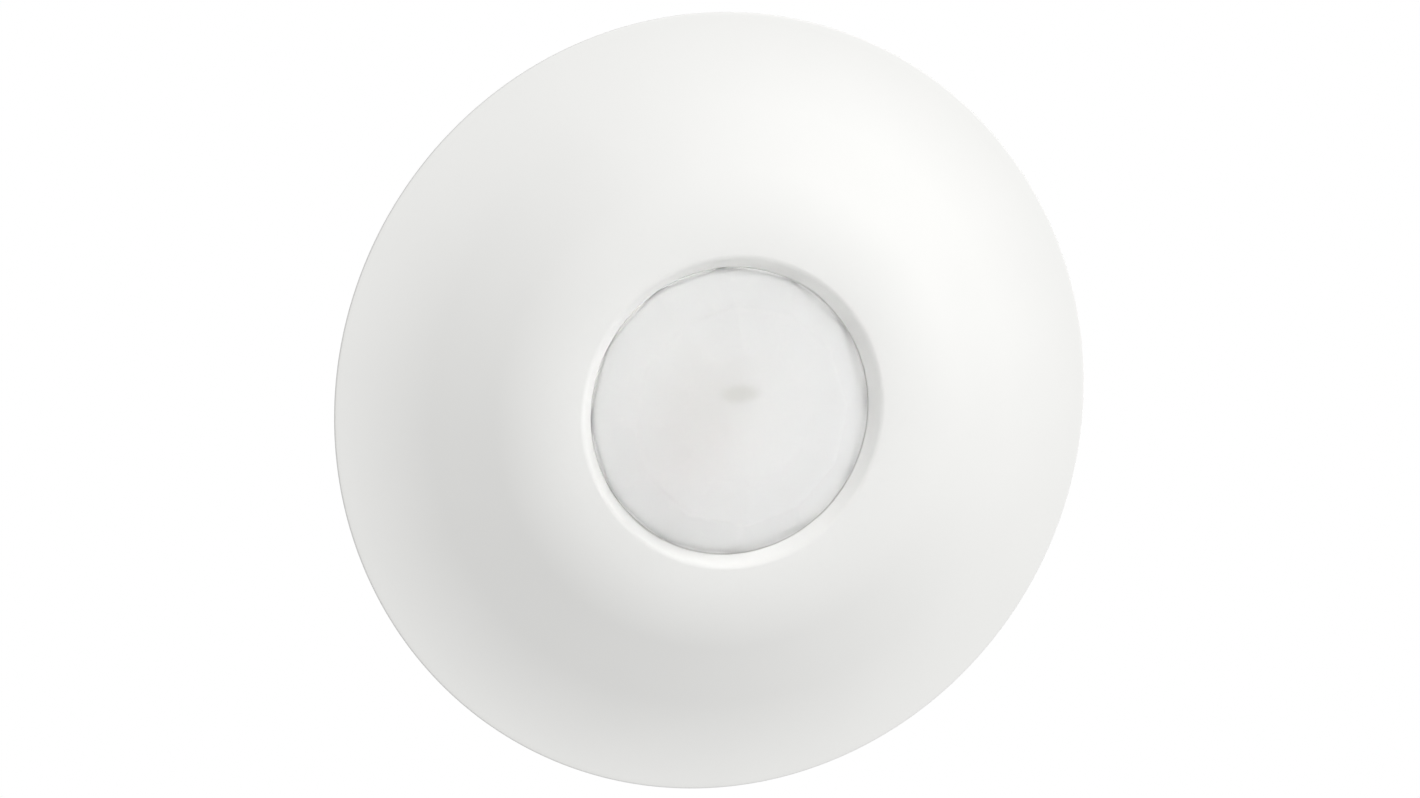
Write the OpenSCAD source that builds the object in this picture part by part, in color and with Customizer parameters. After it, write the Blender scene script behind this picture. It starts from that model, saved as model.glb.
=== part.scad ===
// Flush ceiling presence detector: a white bell cover round a faceted lens, over a round housing
// that goes up through a hole in the ceiling board and is held there by two sprung claws.
// Millimetres. The ceiling face is z = 0, +Z points up into the ceiling, and the lens looks down.

/* [Cover] */
// Diameter of the bell cover
cover_d = 110; // [106:1:120]
// Wall of the bell cover
cover_wall = 2; // [1.6:0.1:2.4]
// Thickness of the cover's outer edge
rim_edge = 0.6; // [0.5:0.1:1.4]
// Steepest slope of the bell, in degrees
bell_slope = 22.5; // [20:0.5:24]
// Slope of the bell at its outer edge, in degrees
rim_slope = 6.5; // [4:0.5:9]
// Width of the rounded crown between the lip and the straight flank
crown_w = 11.7; // [10.5:0.1:13]
// Width of the straight flank
flank_w = 8; // [6:0.5:10]
// Radius of the rounded lip round the lens
lip_r = 1.2; // [0.8:0.1:1.6]
// Angle that the lip turns through, in degrees
lip_turn = 45; // [25:5:50]
// Width of the bevel from the lip to the lens's opening
lip_bevel_w = 1.1; // [0.6:0.1:1.4]
// Wall of the skirt that pushes over the housing
skirt_wall = 1.8; // [1.6:0.1:2.4]
// Number of stiffening ribs behind the cover
cover_ribs = 12; // [6:1:18]

/* [Lens] */
// Diameter of the lens across its corners
lens_d = 40; // [37:0.2:41]
// Number of flat facets in each row of the lens
lens_facets = 12; // [9:1:16]
// Turn of the lens's corners about its axis, in degrees
lens_turn = 0; // [0:1:30]
// Wall of the lens
lens_wall = 0.8; // [0.6:0.1:1.2]
// Gap between the lens and the opening of the cover
lens_gap = 0.3; // [0.3:0.1:1]
// Depth of the lens's first edge behind the lip
lens_set = 1.5; // [1:0.1:1.8]
// Radius of the corners between the steep row and the middle row
lens_shoulder_r = 15.5; // [14:0.1:17]
// Radius of the corners between the middle row and the flat row
lens_shelf_r = 9.2; // [8:0.1:11]
// Radius of the flat facet in the middle
lens_tip_r = 3.2; // [2:0.1:5]
// Height of the steep row of facets
lens_steep_h = 4.9; // [4:0.1:6]
// Height of the middle row of facets
lens_middle_h = 2.6; // [2:0.1:3.2]
// Height of the flat row of facets
lens_flat_h = 0.8; // [0.4:0.1:1.2]
// Width of the lens's mounting flange
lens_flange_w = 1.6; // [1.4:0.1:2.4]
// Thickness of the lens's mounting flange
lens_flange_t = 1; // [0.8:0.1:1.4]

/* [Housing] */
// Height of the housing above the ceiling face
body_h = 34; // [32:1:40]
// Wall of the housing
body_wall = 2; // [1.8:0.1:2.6]
// Height of the round spigot that fills the hole in the ceiling board
spigot_h = 13; // [10:0.5:13]
// Thickness of the flange that bears on the ceiling
flange_t = 2; // [1.6:0.1:2.2]
// Thickness of the front plate
plate_t = 2; // [1.6:0.1:2.6]
// Thickness of the rear cap
cap_t = 2; // [1.8:0.1:2.6]
// Diameter of the cable bore through the grommet
cable_d = 8; // [6:0.5:9]

/* [Settings under the cover] */
// Diameter of a setting dial
dial_d = 4.4; // [4:0.1:4.8]
// Width of the square body under each dial
dial_base_w = 5; // [4.6:0.1:5.2]
// Diameter of the test button
button_d = 3.8; // [3.4:0.1:4.2]
// Travel of the test button
button_travel = 0.3; // [0.2:0.05:0.4]

/* [Claws] */
// Length of a claw from its pin to its tip
claw_reach = 25; // [22:0.5:27]
// Width of a claw
claw_w = 12; // [11:0.5:14]
// Thickness of a claw's strap
claw_t = 1; // [0.8:0.1:1.2]
// Droop of a claw at rest, in degrees
claw_droop = 15; // [10:1:18]
// Diameter of a claw's pin
pin_d = 2; // [1.6:0.1:2.2]
// Height of the claw pins above the ceiling face
pin_z = 18; // [17.5:0.5:20]
// Wire of the torsion spring on each pin
spring_wire = 0.7; // [0.6:0.05:0.8]
// Whole turns in each torsion spring
spring_turns = 4; // [3:1:4]

/* [Electronics] */
// Thickness of the two circuit boards
board_t = 1.6; // [1:0.1:2]
// Room between the front plate and the sensor board
sensor_room = 5; // [4.8:0.1:5.6]
// Room between the two boards
board_gap = 6.5; // [6:0.1:7]
// Diameter of the infrared sensor's can
can_d = 8.2; // [7.6:0.1:9]
// Height of the infrared sensor's can
can_h = 4.2; // [3.6:0.1:4.6]
// Number of poles in the terminal block
poles = 5; // [3:1:5]
// Distance between two poles
pole_pitch = 5; // [4.8:0.1:5.2]

/* [Hidden] */
$fn = 64;
// Running clearance of turning and sliding pieces, on the radius
run_fit = 0.05;
// Clearance between fixed pieces
fit = 0.15;
// Clearance between pieces that must not touch
clear = 0.3;
// Overlap that makes two shapes of one piece join
join = 0.4;
// Overrun of a cut past the face that it opens
past = 1;
arc_steps = 14;
side_step = 360 / lens_facets;

// Bell of the cover, from the lens outwards
lens_r = lens_d / 2;
open_r = lens_r + lens_gap;
lip_out_r = open_r + lip_bevel_w + lip_r * sin(lip_turn);
flank_r = lip_out_r + crown_w;
flare_r = flank_r + flank_w;
cover_r = cover_d / 2;
crown_arc = crown_w / sin(bell_slope);
flare_arc = (cover_r - flare_r) / (sin(bell_slope) - sin(rim_slope));
crown_h = crown_arc * (1 - cos(bell_slope));
flank_h = flank_w * tan(bell_slope);
flare_h = flare_arc * (cos(rim_slope) - cos(bell_slope));
rib_t = 1.2;

// Heights of the lens stack: the cover's lip, the retainer, the lens and the front plate
lip_z = -(rim_edge + crown_h + flank_h + flare_h);
lip_back_z = lip_z + cover_wall;
retainer_t = 1.2;
retainer_wall = 1.15;
retainer_z = lip_back_z + clear;
lens_flange_z = retainer_z + retainer_t;
plate_z = lens_flange_z + lens_flange_t;
plate_back_z = plate_z + plate_t;
lens_base_z = lip_z + lens_set;
lens_flange_r = lens_r + lens_flange_w;
window_ledge = 1.1;
window_r = lens_r - lens_wall - window_ledge;
retainer_r = lens_flange_r + fit + retainer_wall;

// Setting dials and test button, on one circle round the retainer
dial_gap = 0.25;
dial_hole_r = dial_d / 2 + dial_gap;
setting_r = retainer_r + clear + dial_hole_r;
dial_angles = [60, 90, 120];
dial_proud = 1.2;
dial_head_z = plate_z - dial_proud;
dial_stem_r = 1.2;
dial_stem_l = 1.8;
slot_w = 0.8;
slot_depth = 0.8;
// Length of a dial's slot, as a share of its diameter
slot_share = 0.75;
button_angle = 210;
button_gap = 0.2;
button_hole_r = button_d / 2 + button_gap;
button_proud = 1.1;
button_face_z = plate_z - button_proud;
collar_w = 0.5;
collar_r = button_hole_r + collar_w;
collar_t = 0.7;
collar_z = plate_back_z + fit;
plunger_z = collar_z + collar_t;
plunger_r = 1.4;
plunger_l = 2.2;
switch_w = 5;
switch_room = 1;
switch_gap = button_travel + switch_room;

// Housing
dial_side_gap = 0.85;
body_in_r = setting_r + dial_base_w / 2 + dial_side_gap;
body_r = body_in_r + body_wall;
// The body is a little narrower above the spigot, so that it goes in easily
body_step = 0.4;
upper_r = body_r - body_step;
flange_r = flank_r + (-flange_t - 2 * clear - lip_z - crown_h
    - cover_wall / cos(bell_slope)) / tan(bell_slope);
cap_z = body_h - cap_t;
ear_angles = [30, 150, 270];
ear_t = 1.2;
ear_r = 2.7;
ear_screw_r = 0.95;
ear_head_r = 1.8;
ear_head_t = 0.9;
ear_boss_r = 2;
ear_boss_h = 3.2;
ear_boss_end = 1;
ear_screw_out = 1;
ear_slot = [2.6, 0.6];
ear_slot_depth = 0.5;
boss_angles = [45, 135, 225, 315];
boss_r = 2.6;
boss_sink = 1.6;
boss_at = body_in_r - boss_sink;
cap_screw_r = 1.1;
cap_screw_l = 9;
cap_head_r = 2.1;
cap_head_t = 1.2;
cap_screw_end = 1;
cap_slot = [2.8, 0.7];
cap_slot_depth = 0.8;
cap_rim_w = 1.6;
cap_rim_h = 2;
cap_edge = 1;
vent_w = 1.4;
vent_l = 7;
vents = [-2, -1, 0, 1, 2];
vent_pitch = 3.2;

// Snap clips that hold the cover on the housing
clip_angles = [90, 210, 330];
clip_w = 9;
clip_t = 0.35;
clip_seat = 1;
clip_bump = 0.75;
clip_half = 1.1;
// Thickness of the clip at its bend, against its own
clip_bend = 1.3;
clip_z = (plate_z - flange_t) / 2;
clip_foot = (-flange_t - plate_z) / 2 - fit;
skirt_r = body_r + clear;
skirt_z = -flange_t - clear;
groove_h = 1.7;

// Boards
sensor_z = plate_back_z + sensor_room;
sensor_back_z = sensor_z + board_t;
power_z = sensor_back_z + board_gap;
power_back_z = power_z + board_t;
board_side_gap = 0.5;
board_r = body_in_r - board_side_gap;
post_angles = [35, 155, 218, 322];
post_offset = 2.6;
post_at = window_r + post_offset;
post_r = 2.3;
board_screw_r = 0.95;
board_head_r = 1.9;
board_head_t = 1.3;
board_screw_end = 2;
board_slot = [2.6, 0.6];
board_slot_depth = 0.65;

// Claws, their pockets and their springs
pocket_wall = 1.6;
pocket_w = claw_w + 2 * clear;
pin_rise = 4;
pocket_floor = pin_z - pin_rise;
pin_r = pin_d / 2;
pin_back = 3.6;
pin_x = body_r - pin_back;
pocket_x = pin_x - pin_back;
eye_wall = 1.1;
eye_r = pin_r + run_fit + eye_wall;
eye_w = 2.2;
strap_x = 2.9;
tip_pad_r = 1.6;
tip_pad_l = 5;
tip_pad_t = 2.6;
tip_shoulder = 2;
tip_w = claw_w - 2 * tip_shoulder;
strap_rib_w = 3;
strap_rib_l = 9;
strap_rib_t = 0.6;
spring_r = pin_r + clear + spring_wire / 2;
coil_gap = 0.55;
spring_pitch = spring_wire + coil_gap;
spring_start_angle = 165;
spring_slant_angle = 75;
spring_sweep = spring_start_angle - spring_slant_angle + claw_droop + 360 * spring_turns;
spring_l = spring_pitch * spring_sweep / 360;
spring_foot = 3.6;
spring_arm = 6.5;
spring_arm_z = claw_t / 2 + spring_wire / 2 + fit;
rings_per_turn = 8;
spring_rings = ceil(rings_per_turn * spring_sweep / 360);
spring_sides = 6;

// Infrared sensor, light sensor and status lamp, on the sensor board
spacer_t = 0.8;
can_r = can_d / 2;
can_rim_w = 0.5;
can_rim_r = can_r + can_rim_w;
can_rim_t = 0.5;
can_z = sensor_z - spacer_t - can_h;
window_w = 4;
window_d = 3;
window_t = 0.4;
lead_r = 0.25;
lead_at = 2.5;
lead_out = 1;
lead_angles = [45, 135, 270];
lamp_offset = 4;
lamp_at = [can_rim_r + lamp_offset, 0];
lamp_r = 1.5;
lamp_h = 3.5;
lamp_rim_r = 1.9;
lamp_rim_t = 0.6;
eye_at = [-can_rim_r - lamp_offset, 0];
eye_box = [3, 2.2];
eye_box_t = 1.3;
eye_lens_r = 0.8;
eye_lens_t = 0.3;
chip_main = 7;
chip_main_t = 1;
chip_main_at = [5, 9];
chip_side = [5, 4];
chip_side_t = 1.5;
chip_side_at = [-6, 9];

// Connector between the boards
link_count = 5;
link_pitch = 2;
link_r = 0.3;
link_at = [0, -9];
link_w = 2.4;
link_strip_h = 2.4;
link_socket_h = board_gap - link_strip_h - clear;

// Parts on the power board: wires lie in the gap between the terminal block and the relay
terminal_w = poles * pole_pitch;
terminal_d = 9.5;
terminal_h = 12;
terminal_back = 9.7;
terminal_y = -(body_in_r - terminal_back);
cage_w = 3.2;
cage_d = 6;
cage_h = 5;
cage_wall = 0.6;
cage_rise = 2.5;
cage_z = power_back_z + cage_rise;
clamp_screw_r = 1.3;
clamp_screw_low = 1.5;
clamp_slot_w = 0.5;
clamp_slot_depth = 0.6;
wire_gap = 8;
relay_w = 20;
relay_d = 10;
relay_h = 15;
relay_y = terminal_y + terminal_d / 2 + wire_gap + relay_d / 2;
part_gap = 3;
supply_w = 14;
supply_d = 5;
supply_h = 12;
supply_leg = 2;
supply_yoke = 2.4;
winding_d = 10;
supply_at = [-8.5, relay_y + relay_d / 2 + part_gap + winding_d / 2];
smoothing_r = 5;
smoothing_h = 15;
smoothing_fold = 0.8;
smoothing_dish = 0.3;
smoothing_neck = 0.4;
smoothing_neck_z = 1.6;
smoothing_neck_h = 0.8;
smoothing_at = [8.5, relay_y + relay_d / 2 + part_gap + smoothing_r];
film_w = 6;
film_d = 13;
film_h = 12;
film_at = [relay_w / 2 + part_gap + film_w / 2, relay_y];
surge_r = 4.2;
surge_t = 3.4;
surge_leg = 1.5;
surge_leg_r = 0.35;
surge_at = [-relay_w / 2 - part_gap - surge_t / 2, relay_y - surge_r];
fuse_w = 4;
fuse_d = 6;
fuse_h = 8;
fuse_at = [-relay_w / 2 - part_gap - fuse_w / 2, relay_y + (part_gap + fuse_d) / 2];

// Cable grommet in the rear cap, over the wire gap
grommet_at = [0, terminal_y + terminal_d / 2 + wire_gap / 2];
grommet_bore_r = cable_d / 2;
grommet_wall = 1.5;
grommet_neck_r = grommet_bore_r + grommet_wall;
grommet_lip_w = 1.4;
grommet_lip_r = grommet_neck_r + grommet_lip_w;
grommet_edge = 0.5;
grommet_lip_t = 1.5;

// Point of the bell where its slope is a, set back into the wall by inset
function flare_point(a, inset) = [
    cover_r - flare_arc * (sin(a) - sin(rim_slope)) - inset * sin(a),
    -rim_edge - flare_arc * (cos(rim_slope) - cos(a)) + inset * cos(a)];
function crown_point(a, inset) = [
    lip_out_r + (crown_arc - inset) * sin(a),
    lip_z + crown_arc - (crown_arc - inset) * cos(a)];
function bell_curve(inset) = concat(
    [for (i = [0 : arc_steps])
        flare_point(rim_slope + (bell_slope - rim_slope) * i / arc_steps, inset)],
    [for (i = [0 : arc_steps])
        crown_point(bell_slope * (1 - i / arc_steps), inset)]);
function lip_curve() = concat(
    [for (i = [1 : arc_steps])
        let (a = lip_turn * i / arc_steps)
        [lip_out_r - lip_r * sin(a), lip_z + lip_r * (1 - cos(a))]],
    [[open_r, lip_z + lip_r * (1 - cos(lip_turn)) + lip_bevel_w * tan(lip_turn)]]);

// The back of the bell from the lip to the rim, cut off level with the ceiling
function bell_back(inset) =
    let (curve = bell_curve(inset), last = len(curve) - 1)
    [for (i = [last : -1 : 0]) [curve[i][0], min(curve[i][1], 0)]];

// Height of the bell's visible surface at radius r, inside the straight flank's outer end
function bell_z(r) = r < flank_r
    ? lip_z + crown_arc - sqrt(pow(crown_arc, 2) - pow(max(r - lip_out_r, 0), 2))
    : lip_z + crown_h + (r - flank_r) * tan(bell_slope);

// Corners of the lens at radius r and height z
function lens_ring(r, z) = [for (i = [0 : lens_facets - 1])
    [r * cos(lens_turn + i * side_step), r * sin(lens_turn + i * side_step), z]];

// Rings of the lens from its flange to its middle, set in by its wall for the inside
function lens_rings(inset, start_z) =
    let (shoulder_z = lens_base_z - lens_steep_h, shelf_z = shoulder_z - lens_middle_h)
    [lens_ring(lens_r - inset, start_z),
     lens_ring(lens_r - inset, lens_base_z),
     lens_ring(lens_shoulder_r - inset / 2, shoulder_z + inset),
     lens_ring(lens_shelf_r - inset / 4, shelf_z + inset),
     lens_ring(lens_tip_r, shelf_z - lens_flat_h + inset)];

// Path of a claw's torsion spring about its pin: foot, coil, then the arm along the strap
function unit(v) = v / norm(v);
function about_pin(a, r, y) = [r * cos(a), y, r * sin(a)];
function drooped(x, y, z) = [
    x * cos(claw_droop) + z * sin(claw_droop), y, z * cos(claw_droop) - x * sin(claw_droop)];
function coil_point(i) = about_pin(
    spring_start_angle - spring_sweep * i / spring_rings, spring_r,
    spring_l * (i / spring_rings - 0.5));
function spring_path() =
    let (bend_x = spring_r * cos(spring_slant_angle)
            + (spring_r * sin(spring_slant_angle) - spring_arm_z) * tan(spring_slant_angle),
         foot = about_pin(spring_start_angle - 90, spring_foot, 0))
    concat(
        [coil_point(0) - foot, coil_point(0) - foot / 2],
        [for (i = [0 : spring_rings]) coil_point(i)],
        [drooped(bend_x, spring_l / 2, spring_arm_z),
         drooped(bend_x + spring_arm / 2, spring_l / 2, spring_arm_z),
         drooped(bend_x + spring_arm, spring_l / 2, spring_arm_z)]);

// Least distance between two coils' wires, measured on the path
spring_gap = min([for (i = [0 : spring_rings - rings_per_turn])
    for (j = [i + rings_per_turn - 2 : spring_rings])
        norm(coil_point(i) - coil_point(j))]) - spring_wire;
echo(spring_gap = spring_gap);

// Ring of points round a path at point i
function path_way(path, i) = unit(path[min(i + 1, len(path) - 1)] - path[max(i - 1, 0)]);
function wire_ring(point, way, r) =
    let (side = unit(cross(way, [0, 1, 0])), up = cross(side, way))
    [for (k = [0 : spring_sides - 1])
        point + r * (cos(360 * k / spring_sides) * side + sin(360 * k / spring_sides) * up)];

// Wire of round section along a path
module wire(path, r) {
    n = spring_sides;
    last = len(path) - 1;
    points = [for (i = [0 : last]) each wire_ring(path[i], path_way(path, i), r)];
    sleeve = [for (i = [0 : last - 1]) for (k = [0 : n - 1])
        let (a = i * n + k, b = i * n + (k + 1) % n)
        each [[a, b, b + n], [a, b + n, a + n]]];
    ends = [for (k = [1 : n - 2])
        each [[0, k + 1, k], [last * n, last * n + k, last * n + k + 1]]];
    polyhedron(points, concat(sleeve, ends));
}

// Faceted dome from a list of rings, closed flat at both ends
module dome(rings) {
    n = lens_facets;
    last = len(rings) - 1;
    points = [for (one = rings) each one];
    sides = [for (i = [0 : last - 1]) for (k = [0 : n - 1])
        let (a = i * n + k, b = i * n + (k + 1) % n)
        [a, b, b + n, a + n]];
    base = [for (k = [n - 1 : -1 : 0]) k];
    tip = [for (k = [0 : n - 1]) last * n + k];
    polyhedron(points, concat(sides, [base, tip]));
}

// Closed ring of rectangular section about the Z axis
module ring(inner_r, outer_r, low_z, high_z) {
    rotate_extrude()
        translate([inner_r, low_z])
            square([outer_r - inner_r, high_z - low_z]);
}

// Box centred on a point in plan
module block(at, size, low_z, high_z) {
    translate([at[0] - size[0] / 2, at[1] - size[1] / 2, low_z])
        cube([size[0], size[1], high_z - low_z]);
}

// Upright round bar on a point in plan
module rod(at, r, low_z, high_z) {
    translate([at[0], at[1], low_z])
        cylinder(r = r, h = high_z - low_z);
}

// Round bar along Y, centred
module axle(r, l) {
    rotate([90, 0, 0])
        cylinder(r = r, h = l, center = true);
}

// Repeats its children at each angle and at radius r, turned to face outwards
module around(angles, r) {
    for (a = angles)
        rotate([0, 0, a])
            translate([r, 0, 0])
                children();
}

// Places its children on a claw's pin: side 0 is the right claw, side 1 the left one
module on_pin(side) {
    rotate([0, 0, 180 * side])
        translate([pin_x, 0, pin_z])
            children();
}

// The room that a claw folds into, with extra on each face
module pocket(extra) {
    for (side = [0, 1])
        rotate([0, 0, 180 * side])
            translate([pocket_x - extra, -pocket_w / 2 - extra, pocket_floor - extra])
                cube([body_r, pocket_w + 2 * extra, body_h]);
}

module front_cover() {
    skirt_out_r = skirt_r + skirt_wall;
    color("white")
        difference() {
            union() {
                rotate_extrude()
                    polygon(concat(
                        [[cover_r, 0]],
                        bell_curve(0),
                        lip_curve(),
                        [[open_r, lip_back_z]],
                        bell_back(cover_wall)));
                ring(skirt_r, skirt_out_r, bell_z(skirt_out_r) + cover_wall / 2, skirt_z);
                intersection() {
                    around([for (i = [0.5 : cover_ribs]) i * 360 / cover_ribs], flange_r + clear)
                        translate([0, -rib_t / 2, lip_z])
                            cube([cover_r, rib_t, -lip_z - rim_edge / 2]);
                    rotate_extrude()
                        polygon(concat(bell_back(cover_wall / 2), [[lip_out_r, 0]]));
                }
            }
            ring(skirt_r - past, skirt_r + clip_bump, clip_z - groove_h / 2, clip_z + groove_h / 2);
        }
}

module lens() {
    color("whitesmoke")
        difference() {
            union() {
                dome(lens_rings(0, plate_z - lens_flange_t / 2));
                rod([0, 0], lens_flange_r, lens_flange_z, plate_z);
            }
            dome(lens_rings(lens_wall, plate_z + past));
        }
}

// The retainer's hole has the lens's own sides, so that the lens can't turn
module lens_retainer() {
    grip_r = lens_r + fit / cos(side_step / 2);
    wall_r = lens_flange_r + fit;
    color("lightgray")
        difference() {
            union() {
                rod([0, 0], retainer_r, retainer_z, plate_z);
                around(ear_angles, setting_r) {
                    rod([0, 0], ear_r, plate_z - ear_t, plate_z);
                    translate([retainer_r - setting_r - join, -ear_r, plate_z - ear_t])
                        cube([setting_r - retainer_r + join, 2 * ear_r, ear_t]);
                }
            }
            rod([0, 0], wall_r, lens_flange_z, plate_z + past);
            translate([0, 0, retainer_z - past])
                linear_extrude(height = retainer_t + 2 * past)
                    polygon([for (corner = lens_ring(grip_r, 0)) [corner[0], corner[1]]]);
            around(ear_angles, setting_r) {
                rod([0, 0], ear_screw_r + fit, plate_z - ear_t - past, plate_z + past);
                translate([0, 0, plate_z - ear_t])
                    cylinder(r1 = ear_head_r + fit, r2 = ear_screw_r + fit, h = ear_head_t);
            }
        }
}

module retainer_screws() {
    color("silver")
        around(ear_angles, setting_r)
            difference() {
                union() {
                    translate([0, 0, plate_z - ear_t])
                        cylinder(r1 = ear_head_r, r2 = ear_screw_r, h = ear_head_t);
                    rod([0, 0], ear_screw_r, plate_z - ear_t + ear_head_t / 2,
                        plate_back_z + ear_screw_out);
                }
                for (turn = [0, 90])
                    rotate([0, 0, turn])
                        block([0, 0], ear_slot, plate_z - ear_t - past,
                            plate_z - ear_t + ear_slot_depth);
            }
}

module housing_shell() {
    color("gainsboro")
        difference() {
            union() {
                rotate_extrude()
                    polygon([[window_r, plate_z], [body_r, plate_z], [body_r, -flange_t],
                        [flange_r, -flange_t], [flange_r, 0], [body_r, 0], [body_r, spigot_h],
                        [upper_r, spigot_h + body_step], [upper_r, cap_z], [body_in_r, cap_z],
                        [body_in_r, plate_back_z], [window_r, plate_back_z]]);
                intersection() {
                    pocket(pocket_wall);
                    rod([0, 0], body_in_r + body_wall / 2, 0, cap_z);
                }
                around(boss_angles, boss_at)
                    rod([0, 0], boss_r, plate_back_z - join, cap_z - fit);
                around(post_angles, post_at)
                    rod([0, 0], post_r, plate_back_z - join, sensor_z);
                around(ear_angles, setting_r)
                    rod([0, 0], ear_boss_r, plate_back_z - join, plate_back_z + ear_boss_h);
            }
            pocket(0);
            for (side = [0, 1])
                on_pin(side)
                    axle(pin_r + run_fit / 2, pocket_w + 4 * pocket_wall);
            around(dial_angles, setting_r)
                rod([0, 0], dial_hole_r, plate_z - past, plate_back_z + past);
            around([button_angle], setting_r)
                rod([0, 0], button_hole_r, plate_z - past, plate_back_z + past);
            around(ear_angles, setting_r)
                rod([0, 0], ear_screw_r + run_fit, plate_z - past,
                    plate_back_z + ear_boss_h - ear_boss_end);
            around(boss_angles, boss_at)
                rod([0, 0], cap_screw_r + run_fit, cap_z - cap_screw_l, cap_z + past);
            around(post_angles, post_at)
                rod([0, 0], board_screw_r + run_fit, plate_back_z + board_screw_end / 2, sensor_z + past);
            around(clip_angles, body_r - clip_seat)
                translate([0, -clip_w / 2 - fit, plate_z - past])
                    cube([clip_seat + past, clip_w + 2 * fit, -flange_t - plate_z + fit + past]);
        }
}

module cover_clips() {
    back = body_r - clip_seat;
    face = back + clip_t;
    peak = body_r + clip_bump;
    color("silver")
        around(clip_angles, 0)
            rotate([90, 0, 0])
                linear_extrude(height = clip_w, center = true)
                    polygon([[back, clip_z - clip_foot], [face, clip_z - clip_foot],
                        [face, clip_z - clip_half], [peak, clip_z], [face, clip_z + clip_half],
                        [face, clip_z + clip_foot], [back, clip_z + clip_foot],
                        [back, clip_z + clip_half], [peak - clip_bend * clip_t, clip_z],
                        [back, clip_z - clip_half]]);
}

// A setting dial with a screwdriver slot and a pointer notch, at the given angle
module dial(angle) {
    r = dial_d / 2;
    around([angle], setting_r)
        difference() {
            union() {
                rod([0, 0], r, dial_head_z, plate_back_z - fit);
                rod([0, 0], dial_stem_r, plate_back_z - fit - join, plate_back_z + dial_stem_l);
            }
            block([0, 0], [slot_share * dial_d, slot_w], dial_head_z - past, dial_head_z + slot_depth);
            block([r, 0], [slot_w, slot_w], dial_head_z - past, dial_head_z + slot_depth);
        }
}

module time_dial() {
    color("gray")
        dial(dial_angles[0]);
}

module lux_dial() {
    color("gray")
        dial(dial_angles[1]);
}

module reach_dial() {
    color("gray")
        dial(dial_angles[2]);
}

module dial_bases() {
    color("dimgray")
        around(dial_angles, setting_r)
            difference() {
                block([0, 0], [dial_base_w, dial_base_w], plate_back_z + fit, sensor_z);
                rod([0, 0], dial_stem_r + run_fit, plate_back_z, plate_back_z + dial_stem_l + clear);
            }
}

module test_button() {
    color("orangered")
        around([button_angle], setting_r) {
            rod([0, 0], button_d / 2, button_face_z, plunger_z);
            rod([0, 0], collar_r, collar_z, plunger_z);
        }
}

module switch_plunger() {
    color("black")
        around([button_angle], setting_r)
            rod([0, 0], plunger_r, plunger_z, plunger_z + plunger_l);
}

module switch_body() {
    color("dimgray")
        around([button_angle], setting_r)
            difference() {
                block([0, 0], [switch_w, switch_w], plunger_z + switch_gap, sensor_z);
                rod([0, 0], plunger_r + run_fit, plunger_z, plunger_z + plunger_l + 2 * button_travel);
            }
}

// Round board that slides past the screw bosses and the claw pockets
module board(low_z) {
    difference() {
        rod([0, 0], board_r, low_z, low_z + board_t);
        around(boss_angles, boss_at)
            rod([0, 0], boss_r + clear, low_z - past, low_z + board_t + past);
        around(post_angles, post_at)
            rod([0, 0], board_screw_r + fit, low_z - past, low_z + board_t + past);
        translate([0, 0, low_z - past - pocket_floor + 2 * pocket_wall])
            pocket(pocket_wall + clear);
    }
}

module sensor_board() {
    color("white")
        difference() {
            board(sensor_z);
            around(lead_angles, lead_at)
                rod([0, 0], lead_r + fit, sensor_z - past, sensor_back_z + past);
        }
}

module power_board() {
    color("darkgreen")
        board(power_z);
}

module board_spacers() {
    color("ivory")
        around(post_angles, post_at)
            ring(board_screw_r + fit, post_r, sensor_back_z, power_z);
}

module board_screws() {
    color("silver")
        around(post_angles, post_at)
            difference() {
                union() {
                    rod([0, 0], board_screw_r, plate_back_z + board_screw_end, power_back_z + join);
                    rod([0, 0], board_head_r, power_back_z, power_back_z + board_head_t);
                }
                block([0, 0], board_slot, power_back_z + board_head_t - board_slot_depth,
                    power_back_z + board_head_t + past);
            }
}

module sensor_can() {
    base_z = sensor_z - spacer_t;
    color("silver")
        difference() {
            union() {
                rod([0, 0], can_r, can_z, base_z);
                rod([0, 0], can_rim_r, base_z - can_rim_t, base_z);
                around(lead_angles, lead_at)
                    rod([0, 0], lead_r, base_z - join, sensor_back_z + lead_out);
            }
            block([0, 0], [window_w, window_d], can_z - past, can_z + window_t);
        }
}

module sensor_window() {
    color("black")
        block([0, 0], [window_w - 2 * run_fit, window_d - 2 * run_fit], can_z, can_z + window_t);
}

module sensor_spacer() {
    color("ivory")
        difference() {
            rod([0, 0], can_rim_r, sensor_z - spacer_t, sensor_z);
            around(lead_angles, lead_at)
                rod([0, 0], lead_r + fit, sensor_z - spacer_t - past, sensor_z + past);
        }
}

module light_sensor() {
    color("black") {
        block(eye_at, eye_box, sensor_z - eye_box_t, sensor_z);
        rod(eye_at, eye_lens_r, sensor_z - eye_box_t - eye_lens_t, sensor_z - eye_box_t / 2);
    }
}

module status_lamp() {
    color("red") {
        rod(lamp_at, lamp_r, sensor_z - lamp_h + lamp_r, sensor_z);
        rod(lamp_at, lamp_rim_r, sensor_z - lamp_rim_t, sensor_z);
        translate([lamp_at[0], lamp_at[1], sensor_z - lamp_h + lamp_r])
            sphere(r = lamp_r);
    }
}

module control_chips() {
    color("black") {
        block(chip_main_at, [chip_main, chip_main], sensor_back_z, sensor_back_z + chip_main_t);
        block(chip_side_at, chip_side, sensor_back_z, sensor_back_z + chip_side_t);
    }
}

// Places its children at each pin of the connector
module at_links() {
    for (i = [0 : link_count - 1])
        translate([link_at[0] + (i - (link_count - 1) / 2) * link_pitch, link_at[1], 0])
            children();
}

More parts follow.
